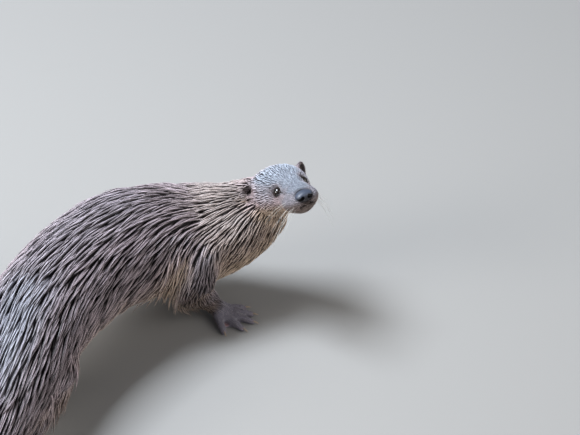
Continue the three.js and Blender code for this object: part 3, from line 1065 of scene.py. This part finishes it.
# The low layer is painted near black, as shade in the gaps between locks; the fine strands are
# painted pale, as highlights.
LAYERS = {  # how pale each layer is, how many rings its locks have, and their section
    "low": (0.06, 2, NARROW), "broad": (0.6, 5, BROAD), "fine": (1.9, 4, NARROW),
    "short": (1.1, 2, NARROW), "fringe": (1.7, 5, NARROW),
}
LID_CLEAR, SOLE_CLEAR = 2.0 * MM, 6 * MM  # no hair grows this near to an eye or the floor
LIPS_CLEAR = 2.3  # nor within these millimetres of the mouth
FRINGE = {"length": 40 * MM, "lift": 8 * MM, "droop": 13 * MM}  # the last two at a loose tip
FRINGE_REACH = {"front": 36 * MM, "hind": 54 * MM}  # how wide the tuft of a leg grows


def faces_of(parts):
    numbers = [i for i, node in enumerate(FLESH) if part_of(node) in parts]
    return np.flatnonzero(np.isin(face_part, numbers))


def clear_of_features(roots):
    """False for roots on the lids, the nose, the lips or the soles."""
    eyes_clear = from_eyes(roots) >= EYE_RADIUS + LID_CLEAR
    nose_clear = ~((off_nose(roots) < 1) & (to_head(roots)[:, 0] > 24))
    _, vertex = skin_under(roots)
    face_clear = eyes_clear & nose_clear & (off_lips(roots) > LIPS_CLEAR)
    return face_clear & (roots[:, 2] > SOLE_CLEAR) & (in_ear[vertex] < 0.3)


def locks_at(roots, longer, height, wider):
    """Traced locks of the size that the skin asks for at each root, changed by these factors."""
    _, vertex = skin_under(roots)
    sizes = lock_sizes[vertex]
    paths, upward = trace(roots, sizes[:, LENGTH] * longer, height)
    return paths, upward, sizes[:, WIDTH] * rng.uniform(*wider, len(roots))


def uneven(roots):
    """A factor for the length of each lock, so that no two neighbours end together."""
    return rng.uniform(0.8, 1.15, len(roots))


def grow_long(name, parts, each):
    """Three layers: low locks painted dark as shade in the gaps, broad locks, and strands on the
    broad ones.
    """
    faces = faces_of(parts)
    roots = spaced_roots(faces, closer=0.85)
    low = locks_at(roots, longer=0.6, height=0.45, wider=(0.4, 0.6))
    roots = spaced_roots(faces)
    paths, upward, widths = locks_at(roots, uneven(roots), height=0.86, wider=(0.7, 1.15))
    fine_paths, fine_upward, lock = strands_on(paths, upward, widths, each)
    fine_widths = widths[lock] * rng.uniform(0.14, 0.26, len(lock))
    return [
        lock_mesh(f"coat_{name}_low", *low, *LAYERS["low"]),
        lock_mesh(f"coat_{name}", paths, upward, widths, *LAYERS["broad"]),
        lock_mesh(f"coat_{name}_fine", fine_paths, fine_upward, fine_widths, *LAYERS["fine"]),
    ]


def grow_short(name, parts):
    """One layer of small locks, clear of the eyes, nose, lips and soles."""
    roots = spaced_roots(faces_of(parts))
    roots = roots[clear_of_features(roots)]
    locks = locks_at(roots, uneven(roots), height=0.7, wider=(0.75, 1.2))
    return lock_mesh(f"coat_{name}", *locks, *LAYERS["short"])


def grow_fringe(leg):
    """Loose locks that stand clear of the coat, behind an elbow or in the fold before a thigh."""
    middles = places[triangles].mean(axis=1)
    if leg.startswith("front"):
        near = off_arm(leg, middles) < FRINGE_REACH["front"]
    else:
        near = distance(middles, LINES[leg]["places"][0]) < FRINGE_REACH["hind"]
        near &= normals[triangles[:, 0], 2] < 0.05
    roots = spaced_roots(np.flatnonzero(near), closer=0.85)
    _, vertex = skin_under(roots)
    lengths = FRINGE["length"] * rng.uniform(0.5, 1.1, len(roots))
    paths, upward = trace(roots, lengths, height=1.0)
    loose = rng.uniform(0.1, 1.0, len(roots))[:, None, None]
    share = np.linspace(0, 1, STATIONS)[None, :, None]
    paths = paths + upward * FRINGE["lift"] * loose * share**1.5
    paths = paths - UP * FRINGE["droop"] * loose * share**2
    widths = lock_sizes[vertex, WIDTH] * rng.uniform(0.35, 0.75, len(roots))
    return lock_mesh(f"coat_fringe_{leg}", paths, upward, widths, *LAYERS["fringe"])


coat = []
for name, plan in LONG_COAT.items():
    coat += grow_long(name, *plan)
for name, parts in SHORT_COAT.items():
    coat.append(grow_short(name, parts))
for leg in LEGS:
    coat.append(grow_fringe(leg))
for piece in coat:
    print(piece.name, "has", len(piece.data.polygons), "triangles")
print("the whole coat:", sum(len(piece.data.polygons) for piece in coat))

# %% [markdown]
# ## Materials
#
# The shine of wet hair and the shade between its locks are painted into the colour: a lock has a
# painted highlight along its ridge and painted shade at its root and edges, and under long hair
# the skin is painted darker still, as shade in the gaps. One node group gives both colours from
# the markings, and the locks and the skin below share it, so that a change of colour is made
# once. Single hairs are far too thin to model, so they are noise stretched along the lock, which
# also feeds a bump.

# %% Helpers for shader nodes
def srgb(red, green, blue):
    """A colour given as screen values from 0 to 255, as the linear colour that shaders use."""
    parts = [c / 255 for c in (red, green, blue)]
    return (*[c / 12.92 if c <= 0.04045 else ((c + 0.055) / 1.055) ** 2.4 for c in parts], 1)


class Tree:
    """Short ways to add and join shader nodes."""

    def __init__(self, tree):
        self.tree = tree

    def add(self, kind, **settings):
        node = self.tree.nodes.new("ShaderNode" + kind)
        for name, value in settings.items():
            setattr(node, name, value)
        return node

    def put(self, value, socket):
        """A number or colour sets the socket, and another socket is joined to it."""
        if isinstance(value, bpy.types.NodeSocket):
            self.tree.links.new(value, socket)
        else:
            socket.default_value = value

    def put_all(self, values, sockets):
        for value, socket in zip(values, sockets):
            self.put(value, socket)

    def math(self, operation, a, b=0.0, c=0.0):
        node = self.add("Math", operation=operation)
        self.put_all((a, b, c), node.inputs)
        return node.outputs[0]

    def rescale(self, value, low, high, to_low=0.0, to_high=1.0):
        """A smooth change from one range of values to another."""
        node = self.add("MapRange", interpolation_type="SMOOTHSTEP")
        self.put_all((value, low, high, to_low, to_high), node.inputs)
        return node.outputs[0]

    def mix(self, share, a, b):
        """Colour a where share is 0, and colour b where it is 1."""
        node = self.add("Mix", data_type="RGBA")
        self.put_all((share, a, b), (node.inputs[0], node.inputs[6], node.inputs[7]))
        return node.outputs[2]

    def attribute(self, name):
        """The three numbers of a vector that the mesh's points hold."""
        source = self.add("Attribute", attribute_name=name)
        split = self.add("SeparateXYZ")
        self.put(source.outputs["Vector"], split.inputs[0])
        return split.outputs

    def noise(self, x, y, z, detail=2.0):
        """Noise at a place given by three numbers, of size 1."""
        join = self.add("CombineXYZ")
        self.put_all((x, y, z), join.inputs)
        node = self.add("TexNoise")
        self.put(join.outputs[0], node.inputs["Vector"])
        self.put(1.0, node.inputs["Scale"])
        self.put(detail, node.inputs["Detail"])
        return node.outputs["Fac"]

    def bump(self, height, strength, distance):
        """The way the surface faces when a value stands for height, up to a distance."""
        node = self.add("Bump")
        self.put(height, node.inputs["Height"])
        self.put(strength, node.inputs["Strength"])
        self.put(distance, node.inputs["Distance"])
        return node.outputs[0]


def new_material(name, **settings):
    """A material, its tree and its shader, with constants on the shader's own sockets."""
    material = bpy.data.materials.new(name)
    material.use_nodes = True
    shader = material.node_tree.nodes["Principled BSDF"]
    for key, value in settings.items():
        shader.inputs[key.replace("_", " ")].default_value = value
    return material, Tree(material.node_tree), shader


# %% The two colours of the coat
# Each pair runs from dark, which also paints the shade at roots, edges and gaps, to pale, which
# also paints the highlights.
WET_BROWN = {"dark": srgb(13, 7, 6), "pale": srgb(214, 195, 204)}
BUFF_HAIR = {"dark": srgb(36, 20, 13), "pale": srgb(232, 206, 180)}
# The painted sky sheen: a cool blue grey, dark and pale, mixed over the coat where it faces up.
SKY_SHEEN_HAIR = {"dark": srgb(34, 34, 44), "pale": srgb(206, 216, 232)}


def coat_colours():
    """A group that gives the dark and the pale colour of the coat from its markings."""
    group = bpy.data.node_groups.new("coat colours", "ShaderNodeTree")
    for name in ("buff", "sky_sheen"):
        group.interface.new_socket(name, in_out="INPUT", socket_type="NodeSocketFloat")
    for name in ("dark", "pale"):
        group.interface.new_socket(name, in_out="OUTPUT", socket_type="NodeSocketColor")
    tree = Tree(group)
    given = group.nodes.new("NodeGroupInput").outputs
    result = group.nodes.new("NodeGroupOutput").inputs
    for name in ("dark", "pale"):
        warm = tree.mix(given["buff"], WET_BROWN[name], BUFF_HAIR[name])
        # The painted sky sheen is mixed over both colours.
        tree.put(tree.mix(given["sky_sheen"], warm, SKY_SHEEN_HAIR[name]), result[name])
    return group


COAT_COLOURS = coat_colours()
print(COAT_COLOURS.name, "has", len(COAT_COLOURS.nodes), "nodes")


def coat_colour(tree, pale):
    """The colour of the coat, from dark at 0 to pale at 1, which the tone makes paler."""
    buff, sky_sheen, tone = tree.attribute("mark")
    colours = tree.add("Group", node_tree=COAT_COLOURS)
    tree.put(buff, colours.inputs["buff"])
    tree.put(sky_sheen, colours.inputs["sky_sheen"])
    pale = tree.math("MULTIPLY", pale, tone)
    return tree.mix(pale, colours.outputs["dark"], colours.outputs["pale"])


# %% Wet hair
def wet_hair():
    """A painted highlight along the crest of each lock, and painted shade at its edges and root.
    """
    material, tree, shader = new_material(
        "wet_hair", Roughness=0.35, Specular_IOR_Level=0.45,
    )
    across, along, seed = tree.attribute("strand")
    off_ridge = tree.math("ABSOLUTE", tree.math("MULTIPLY_ADD", across, 2.0, -1.0))
    # Painted highlight along the ridge of each lock, fading to painted shade at its edges.
    ridge_highlight = tree.rescale(off_ridge, 0.72, 0.0)
    # Painted shade at the root, where a lock lies under the locks before it.
    shown = tree.rescale(along, 0.0, 0.3)
    lock = tree.math("MULTIPLY", seed, 917.0)
    hairs = tree.noise(tree.math("MULTIPLY", across, 9.0), tree.math("MULTIPLY", along, 2.5), lock)
    fine = tree.rescale(hairs, 0.35, 0.65)
    # The pale share: the painted ridge highlight and the fine hairs, both kept dark near the root.
    pale = tree.math("MULTIPLY", tree.math("MULTIPLY", ridge_highlight, shown), 0.6)
    pale = tree.math("MULTIPLY_ADD", tree.math("MULTIPLY", fine, shown), 0.3, pale)
    pale = tree.math("MULTIPLY", pale, tree.math("MULTIPLY_ADD", seed, 0.3, 0.85))
    tree.put(coat_colour(tree, pale), shader.inputs["Base Color"])
    tree.put(tree.bump(hairs, 0.5, 0.2 * MM), shader.inputs["Normal"])
    return material


HAIR = wet_hair()
for piece in coat:
    piece.data.materials.append(HAIR)
print("the coat is", HAIR.name)


# %% Which skin is bare on the feet
WEB_TOP = 6.5 * MM  # the webs between the toes lie lower than this


def feet_masks(places):
    """1 on the webs between the toes, and 1 on the feet, for each point of the skin."""
    foot = part_value({"foot": 1}, 0, came_from)
    low = 1 - ease(WEB_TOP * 0.75, WEB_TOP * 1.2, places[:, 2])
    web = foot * low * ease(0.3, 0.8, normals[:, 2])
    return spread(web, edges, 2), spread(foot, edges, 8)


web, foot = feet_masks(places)
print("points on the webs:", int((web > 0.5).sum()), "of", int((foot > 0.5).sum()), "on the feet")

# %% The skin below the coat
COMB_RADIUS = 32  # millimetres: combed hair is drawn as fine as on a part of this radius


def combed(places):
    """Millimetres along and round the line of the hair, and 1 where the hair is long."""
    out = np.zeros_like(places)
    for name, line in LINES.items():
        mine = follows == name
        nearest = nearest_on(line, places[mine])
        length = np.linalg.norm(np.diff(line["places"], axis=0), axis=1).sum() / MM
        flat = unwrap_round(line, places[mine])
        out[mine, 0] = nearest / LINE_POINTS * length
        out[mine, 1] = flat[:, 1] * 2 * math.pi * COMB_RADIUS
    out[:, 2] = ease(9, 22, lock_sizes[:, LENGTH] / MM)
    return out


def skin_and_gap_shade():
    """The skin: painted shade under long hair, combed short hair on the face, foot skin on the
    feet.
    """
    material, tree, shader = new_material("skin_and_gap_shade", Specular_IOR_Level=0.3)
    along, round_it, is_long = tree.attribute("comb")
    rim, web, foot = tree.attribute("bare_skin_and_ear_shade")
    hairs = tree.noise(
        tree.math("MULTIPLY", along, 0.35), tree.math("MULTIPLY", round_it, 2.2), 0.0, detail=3.0,
    )
    # Painted shade: under long hair the skin takes nearly the dark colour, as shade in the gaps
    # between locks.
    most = tree.rescale(is_long, 0.0, 1.0, 0.38, 0.05)
    colour = coat_colour(tree, tree.rescale(hairs, 0.35, 0.75, 0.0, most))
    foot_skin = tree.mix(web, srgb(138, 134, 147), srgb(152, 118, 118))
    colour = tree.mix(foot, colour, foot_skin)
    # Dark skin on the lid rims and the lips, and painted shade inside the hollows of the ears.
    tree.put(tree.mix(rim, colour, srgb(24, 17, 16)), shader.inputs["Base Color"])
    tree.put(tree.rescale(foot, 0.0, 1.0, 0.6, 0.3), shader.inputs["Roughness"])
    tree.put(tree.bump(hairs, 0.6, 0.3 * MM), shader.inputs["Normal"])
    return material


store_vectors(skin.data, "mark", marks)
store_vectors(skin.data, "bare_skin_and_ear_shade", np.column_stack([bare_skin_and_ear_shade, web, foot]))
store_vectors(skin.data, "comb", combed(places))
skin.data.materials.append(skin_and_gap_shade())
skin.data.shade_smooth()
print("the skin has", len(skin.data.polygons), "faces in", skin.data.materials[0].name)

# %% [markdown]
# ## Eyes, nose, claws and whiskers
#
# An otter's eyes are small, dark and wet, its nose is a bare pebbled pad, and stiff whiskers
# stand out beside it. Each has its own finish, so each is a piece of its own. An eye is a whole
# ball behind the lids, because the lids then meet it all round. The nose is a fine sphere pushed
# into shape by formulas, because its nostrils are only a few millimetres wide. The claws are
# smoothed copies of the solids, which have the right curve already. The whiskers are thin tubes,
# because a curve without thickness is lost in other programs.

# %% Eyeballs
def smooth_ball(name, centre, radii, axes, segments=64, rings=48):
    """A sphere whose pole lies on the first of three axes, stretched to three radii."""
    bpy.ops.object.select_all(action="DESELECT")
    bpy.ops.mesh.primitive_uv_sphere_add(segments=segments, ring_count=rings, radius=1)
    ball = bpy.context.view_layer.objects.active
    ball.name = name
    local = points_of(ball.data)[:, [2, 0, 1]]
    move_points(ball, centre + (local * np.asarray(radii)) @ np.asarray(axes))
    ball.data.shade_smooth()
    return ball, local


def eye_material():
    """A black pupil, a dark brown iris and a darker edge, by the angle from where it looks."""
    material, tree, shader = new_material(
        "wet_eye", Roughness=0.15, Coat_Weight=1.0, Coat_Roughness=0.07,
    )
    off_axis, _, _ = tree.attribute("gaze")
    iris = tree.mix(tree.rescale(off_axis, 22.0, 27.0), srgb(6, 5, 5), srgb(24, 14, 9))
    colour = tree.mix(tree.rescale(off_axis, 42.0, 50.0), iris, srgb(12, 8, 7))
    tree.put(colour, shader.inputs["Base Color"])
    return material


EYE_MATERIAL = eye_material()
eyes = {}
for side, axis in EYE_AXES.items():
    across = unit(np.cross(head_up, axis))
    axes = [axis, across, np.cross(axis, across)]
    ball, local = smooth_ball("eyeball_" + side, eye_at[side], [EYE_RADIUS] * 3, axes)
    off_axis = np.degrees(np.arccos(np.clip(local[:, 0], -1, 1)))
    store_vectors(ball.data, "gaze", np.column_stack([off_axis, off_axis * 0, off_axis * 0]))
    ball.data.materials.append(EYE_MATERIAL)
    eyes[side] = ball
print("eyes:", [ball.name for ball in eyes.values()])

# %% The nose
NOSTRIL = {  # millimetres aside and up, at its inner and outer end, and its half width at each
    "inner": (5.2, -11.4), "outer": (11.6, -13.0), "wide": (3.2, 1.5), "deep": 5.5,
}


def in_nostril(local):
    """1 deep in a nostril, which is comma shaped and curls outwards, and 0 outside it."""
    here = np.column_stack([np.abs(local[:, 1]), local[:, 2]])
    off, share = off_segment(here, np.array(NOSTRIL["inner"]), np.array(NOSTRIL["outer"]))
    wide = np.interp(share, [0, 1], NOSTRIL["wide"])
    return (1 - ease(0.45, 1.15, off / wide)) * (1 - 0.55 * share) * ease(30, 36, local[:, 0])


def sculpt_nose(points):
    """A broad pad with two nostrils, a groove between them and a flat top."""
    local = to_head(points)
    hollow = in_nostril(local)
    ahead, aside, up = local.T
    up -= 1.4 * ease(-8, -1, up) * ease(32, 40, ahead)
    ahead += 1.2 * np.exp(-(((np.abs(aside) - 9) / 3) ** 2) - ((up + 9) / 3) ** 2)
    ahead -= 0.9 * np.exp(-((aside / 0.9) ** 2)) * ease(-6, -11, up)
    ahead -= NOSTRIL["deep"] * hollow
    up += 1.2 * hollow
    return from_head(np.column_stack([ahead, aside, up])), hollow


nose_centre = from_head([NOSE["ahead"], 0, NOSE["up"]])
nose_radii = np.array([NOSE["deep"], NOSE["wide"], NOSE["high"]]) * MM
nose, _ = smooth_ball("nose_pad", nose_centre, nose_radii, HEAD_AXES, segments=128, rings=96)
nose_places, hollow = sculpt_nose(points_of(nose.data))
move_points(nose, nose_places)


def nose_material():
    """Painted sky sheen on top, painted shade below, black painted shade in the nostrils, fine
    pits all over.
    """
    material, tree, shader = new_material(
        "damp_nose", Roughness=0.42, Coat_Weight=0.15, Coat_Roughness=0.25,
    )
    where = tree.add("TexCoord")
    cells = tree.add("TexVoronoi", feature="F1")
    tree.put(where.outputs["Object"], cells.inputs["Vector"])
    tree.put(1800.0, cells.inputs["Scale"])
    pits = tree.bump(cells.outputs["Distance"], 0.35, 0.15 * MM)
    tree.put(pits, shader.inputs["Normal"])
    inside, low, _ = tree.attribute("hollow")
    # Painted light: lighter blue grey on top, a sky sheen, and darker below, painted shade.
    pad = tree.mix(low, srgb(66, 74, 90), srgb(34, 31, 36))
    # Painted shade: the nostrils are near black inside.
    tree.put(tree.mix(inside, pad, srgb(4, 3, 3)), shader.inputs["Base Color"])
    return material


# Painted shade on the lower half of the pad.
painted_low_shade = ease(-6, -14, to_head(nose_places)[:, 2])
nose_marks = np.column_stack([ease(0.15, 0.6, hollow), painted_low_shade, hollow * 0])
store_vectors(nose.data, "hollow", nose_marks)
nose.data.materials.append(nose_material())
print("nose pad:", (nose_radii * 2 / MM).round(1), "mm deep, wide and high")

# %% Claws
claw_nodes = [node for node in frame["nodes"] if node.startswith("claw")]
claws = joined_copies(claw_nodes, "claws", 0.01 * MM)
apply_modifier(claws, "SUBSURF", levels=2)
claws.data.shade_smooth()
claw_horn, _, _ = new_material("claw_horn", Roughness=0.35, Base_Color=srgb(168, 150, 132))
claws.data.materials.append(claw_horn)
print("claws:", len(claw_nodes))

# %% Whiskers
WHISKER_RADIUS = 0.23 * MM
WHISKER_LENGTHS = (32 * MM, 46 * MM)
WHISKER_ROOT = 1.5 * MM  # each one starts this deep in the skin
WHISKER_STEPS = 9


def whisker_paths():
    """Curves that fan out from the whisker pads and droop, as rows of places."""
    t = np.linspace(0, 1, WHISKER_STEPS)[:, None]
    paths = []
    for side, row, n in product((-1, 1), range(3), range(3)):
        root = [36 - row * 2 - n * 4.6, side * (12.5 + n * 2.0), -13.5 - row * 3.5]
        spot, vertex = skin_under([from_head(root)])
        start = spot[0] - normals[vertex[0]] * WHISKER_ROOT
        out = head_left * side - head_forward * (0.5 + 0.25 * n) - head_up * (0.1 + 0.3 * row)
        out = unit(out + rng.normal(0, 0.08, 3))
        length = rng.uniform(*WHISKER_LENGTHS)
        droop = -UP * (t**1.8) * length * rng.uniform(0.5, 1.1)
        paths.append(start + out * t * length + droop)
    return np.array(paths)


def tube_mesh(name, paths, radius, sides=6):
    """Closed tapering tubes along the paths, all in one mesh."""
    count, steps = paths.shape[:2]
    way = unit(np.gradient(paths, axis=1))
    left = unit(np.cross(way, UP))
    over = np.cross(left, way)
    angles = np.arange(sides) / sides * 2 * math.pi
    taper = (radius * np.linspace(1, 0.25, steps))[None, :, None, None]
    rings = paths[:, :, None] + taper * (
        left[:, :, None] * np.cos(angles)[:, None] + over[:, :, None] * np.sin(angles)[:, None]
    )
    points = np.concatenate([rings.reshape(count, -1, 3), paths[:, :1], paths[:, -1:]], axis=1)
    faces = []
    for s in range(sides):
        after = (s + 1) % sides
        for k in range(steps - 1):
            a, b = k * sides + s, k * sides + after
            faces += [(a, b, b + sides), (a, b + sides, a + sides)]
        last = (steps - 1) * sides
        faces += [(steps * sides, after, s), (steps * sides + 1, last + s, last + after)]
    starts = np.arange(count)[:, None, None] * points.shape[1]
    all_faces = (np.array(faces)[None] + starts).reshape(-1, 3)
    flat = points.reshape(-1, 3)
    return mesh_from_arrays(name, flat, all_faces, {}, np.zeros((len(flat), 2)))


whiskers = tube_mesh("whiskers", whisker_paths(), WHISKER_RADIUS)
whisker_white, _, _ = new_material("whisker", Roughness=0.35, Base_Color=srgb(236, 234, 230))
whiskers.data.materials.append(whisker_white)
print("whiskers:", len(whiskers.data.polygons), "triangles")

# %% [markdown]
# ## Camera, floor and light
#
# The camera looks down on the animal's right side, with the head to the right and the back
# curving away to the left. A cool soft light high up behind the animal draws the pale sheen
# along its back, as an open sky does. A warmer one low on the left shapes the flank, and a weak
# one on the right fills the shadows.

# %% Camera
CAMERA_TURN, CAMERA_HIGH = -49, 38  # degrees round the animal, and above the floor
CAMERA_DISTANCE = 4.477
RIGHT_OF_EYE, BELOW_EYE = 0.0167, 0.0351  # where the camera aims, seen in its own view


def way_to(turn, high):
    """The direction from the animal to a turn and a height, both in degrees."""
    turn, high = math.radians(turn), math.radians(high)
    return np.array([
        math.sin(turn) * math.cos(high), -math.cos(turn) * math.cos(high), math.sin(high),
    ])


def set_up(name, data, aim, way, distance):
    """Stands a camera or a light in the scene, aimed at a place from a direction."""
    holder = bpy.data.objects.new(name, data)
    holder.location = aim + way * distance
    holder.rotation_mode = "QUATERNION"
    holder.rotation_quaternion = Vector(-way).to_track_quat("-Z", "Y")
    bpy.context.scene.collection.objects.link(holder)
    return holder


back = way_to(CAMERA_TURN, CAMERA_HIGH)
view_right = way_to(CAMERA_TURN + 90, 0)
view_up = np.cross(back, view_right)
aim = eye_at["right"] + view_right * RIGHT_OF_EYE - view_up * BELOW_EYE
camera = set_up("camera", bpy.data.cameras.new("camera"), aim, back, CAMERA_DISTANCE)
camera.data.lens = 200
camera.data.sensor_width = 36
bpy.context.scene.camera = camera
print("camera aims at", aim.round(3))

# %% Floor
bpy.ops.object.select_all(action="DESELECT")
bpy.ops.mesh.primitive_plane_add(size=60, location=(0, 0, 0))
floor = bpy.context.view_layer.objects.active
floor.name = "floor"
floor_pale, _, _ = new_material("floor_pale", Roughness=0.9, Base_Color=srgb(160, 159, 157))
floor.data.materials.append(floor_pale)
print("the floor is", floor_pale.name)


# %% Lights
def area_light(name, turn, high, distance, size, watts, colour):
    """A square light aimed at the middle of the animal, from a turn and a height in degrees."""
    light = bpy.data.lights.new(name, "AREA")
    light.size = size
    light.energy = watts
    light.color = colour
    middle = np.array((cad_box[0] + cad_box[1]) / 2)
    set_up(name, light, middle, way_to(turn, high), distance).visible_camera = False
    print(name, "light:", watts, "W, turned", turn, "and raised", high, "degrees")


area_light("sky", turn=190, high=68, distance=3.2, size=1.4, watts=176, colour=(0.86, 0.92, 1.0))
area_light("side", turn=-115, high=28, distance=3.0, size=1.4, watts=62, colour=(1.0, 0.97, 0.93))
area_light("fill", turn=20, high=28, distance=3.2, size=2.4, watts=34, colour=(1.0, 0.95, 0.9))
world = bpy.data.worlds.new("soft_room")
world.use_nodes = True
world.node_tree.nodes["Background"].inputs["Color"].default_value = srgb(214, 218, 226)
world.node_tree.nodes["Background"].inputs["Strength"].default_value = 0.25
bpy.context.scene.world = world
bpy.context.scene.view_settings.view_transform = "Standard"

# %% [markdown]
# ## The pieces on the body
#
# Every new piece rides on the one body, and the solids that it covers are hidden.

# %% Tie each piece to the body and hide the solids
for piece in (skin, *coat, *eyes.values(), nose, claws, whiskers):
    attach(piece, "root")
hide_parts(*FLESH)
for side, ball in eyes.items():
    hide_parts("eye_" + side)
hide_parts("nose")
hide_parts(*claw_nodes)
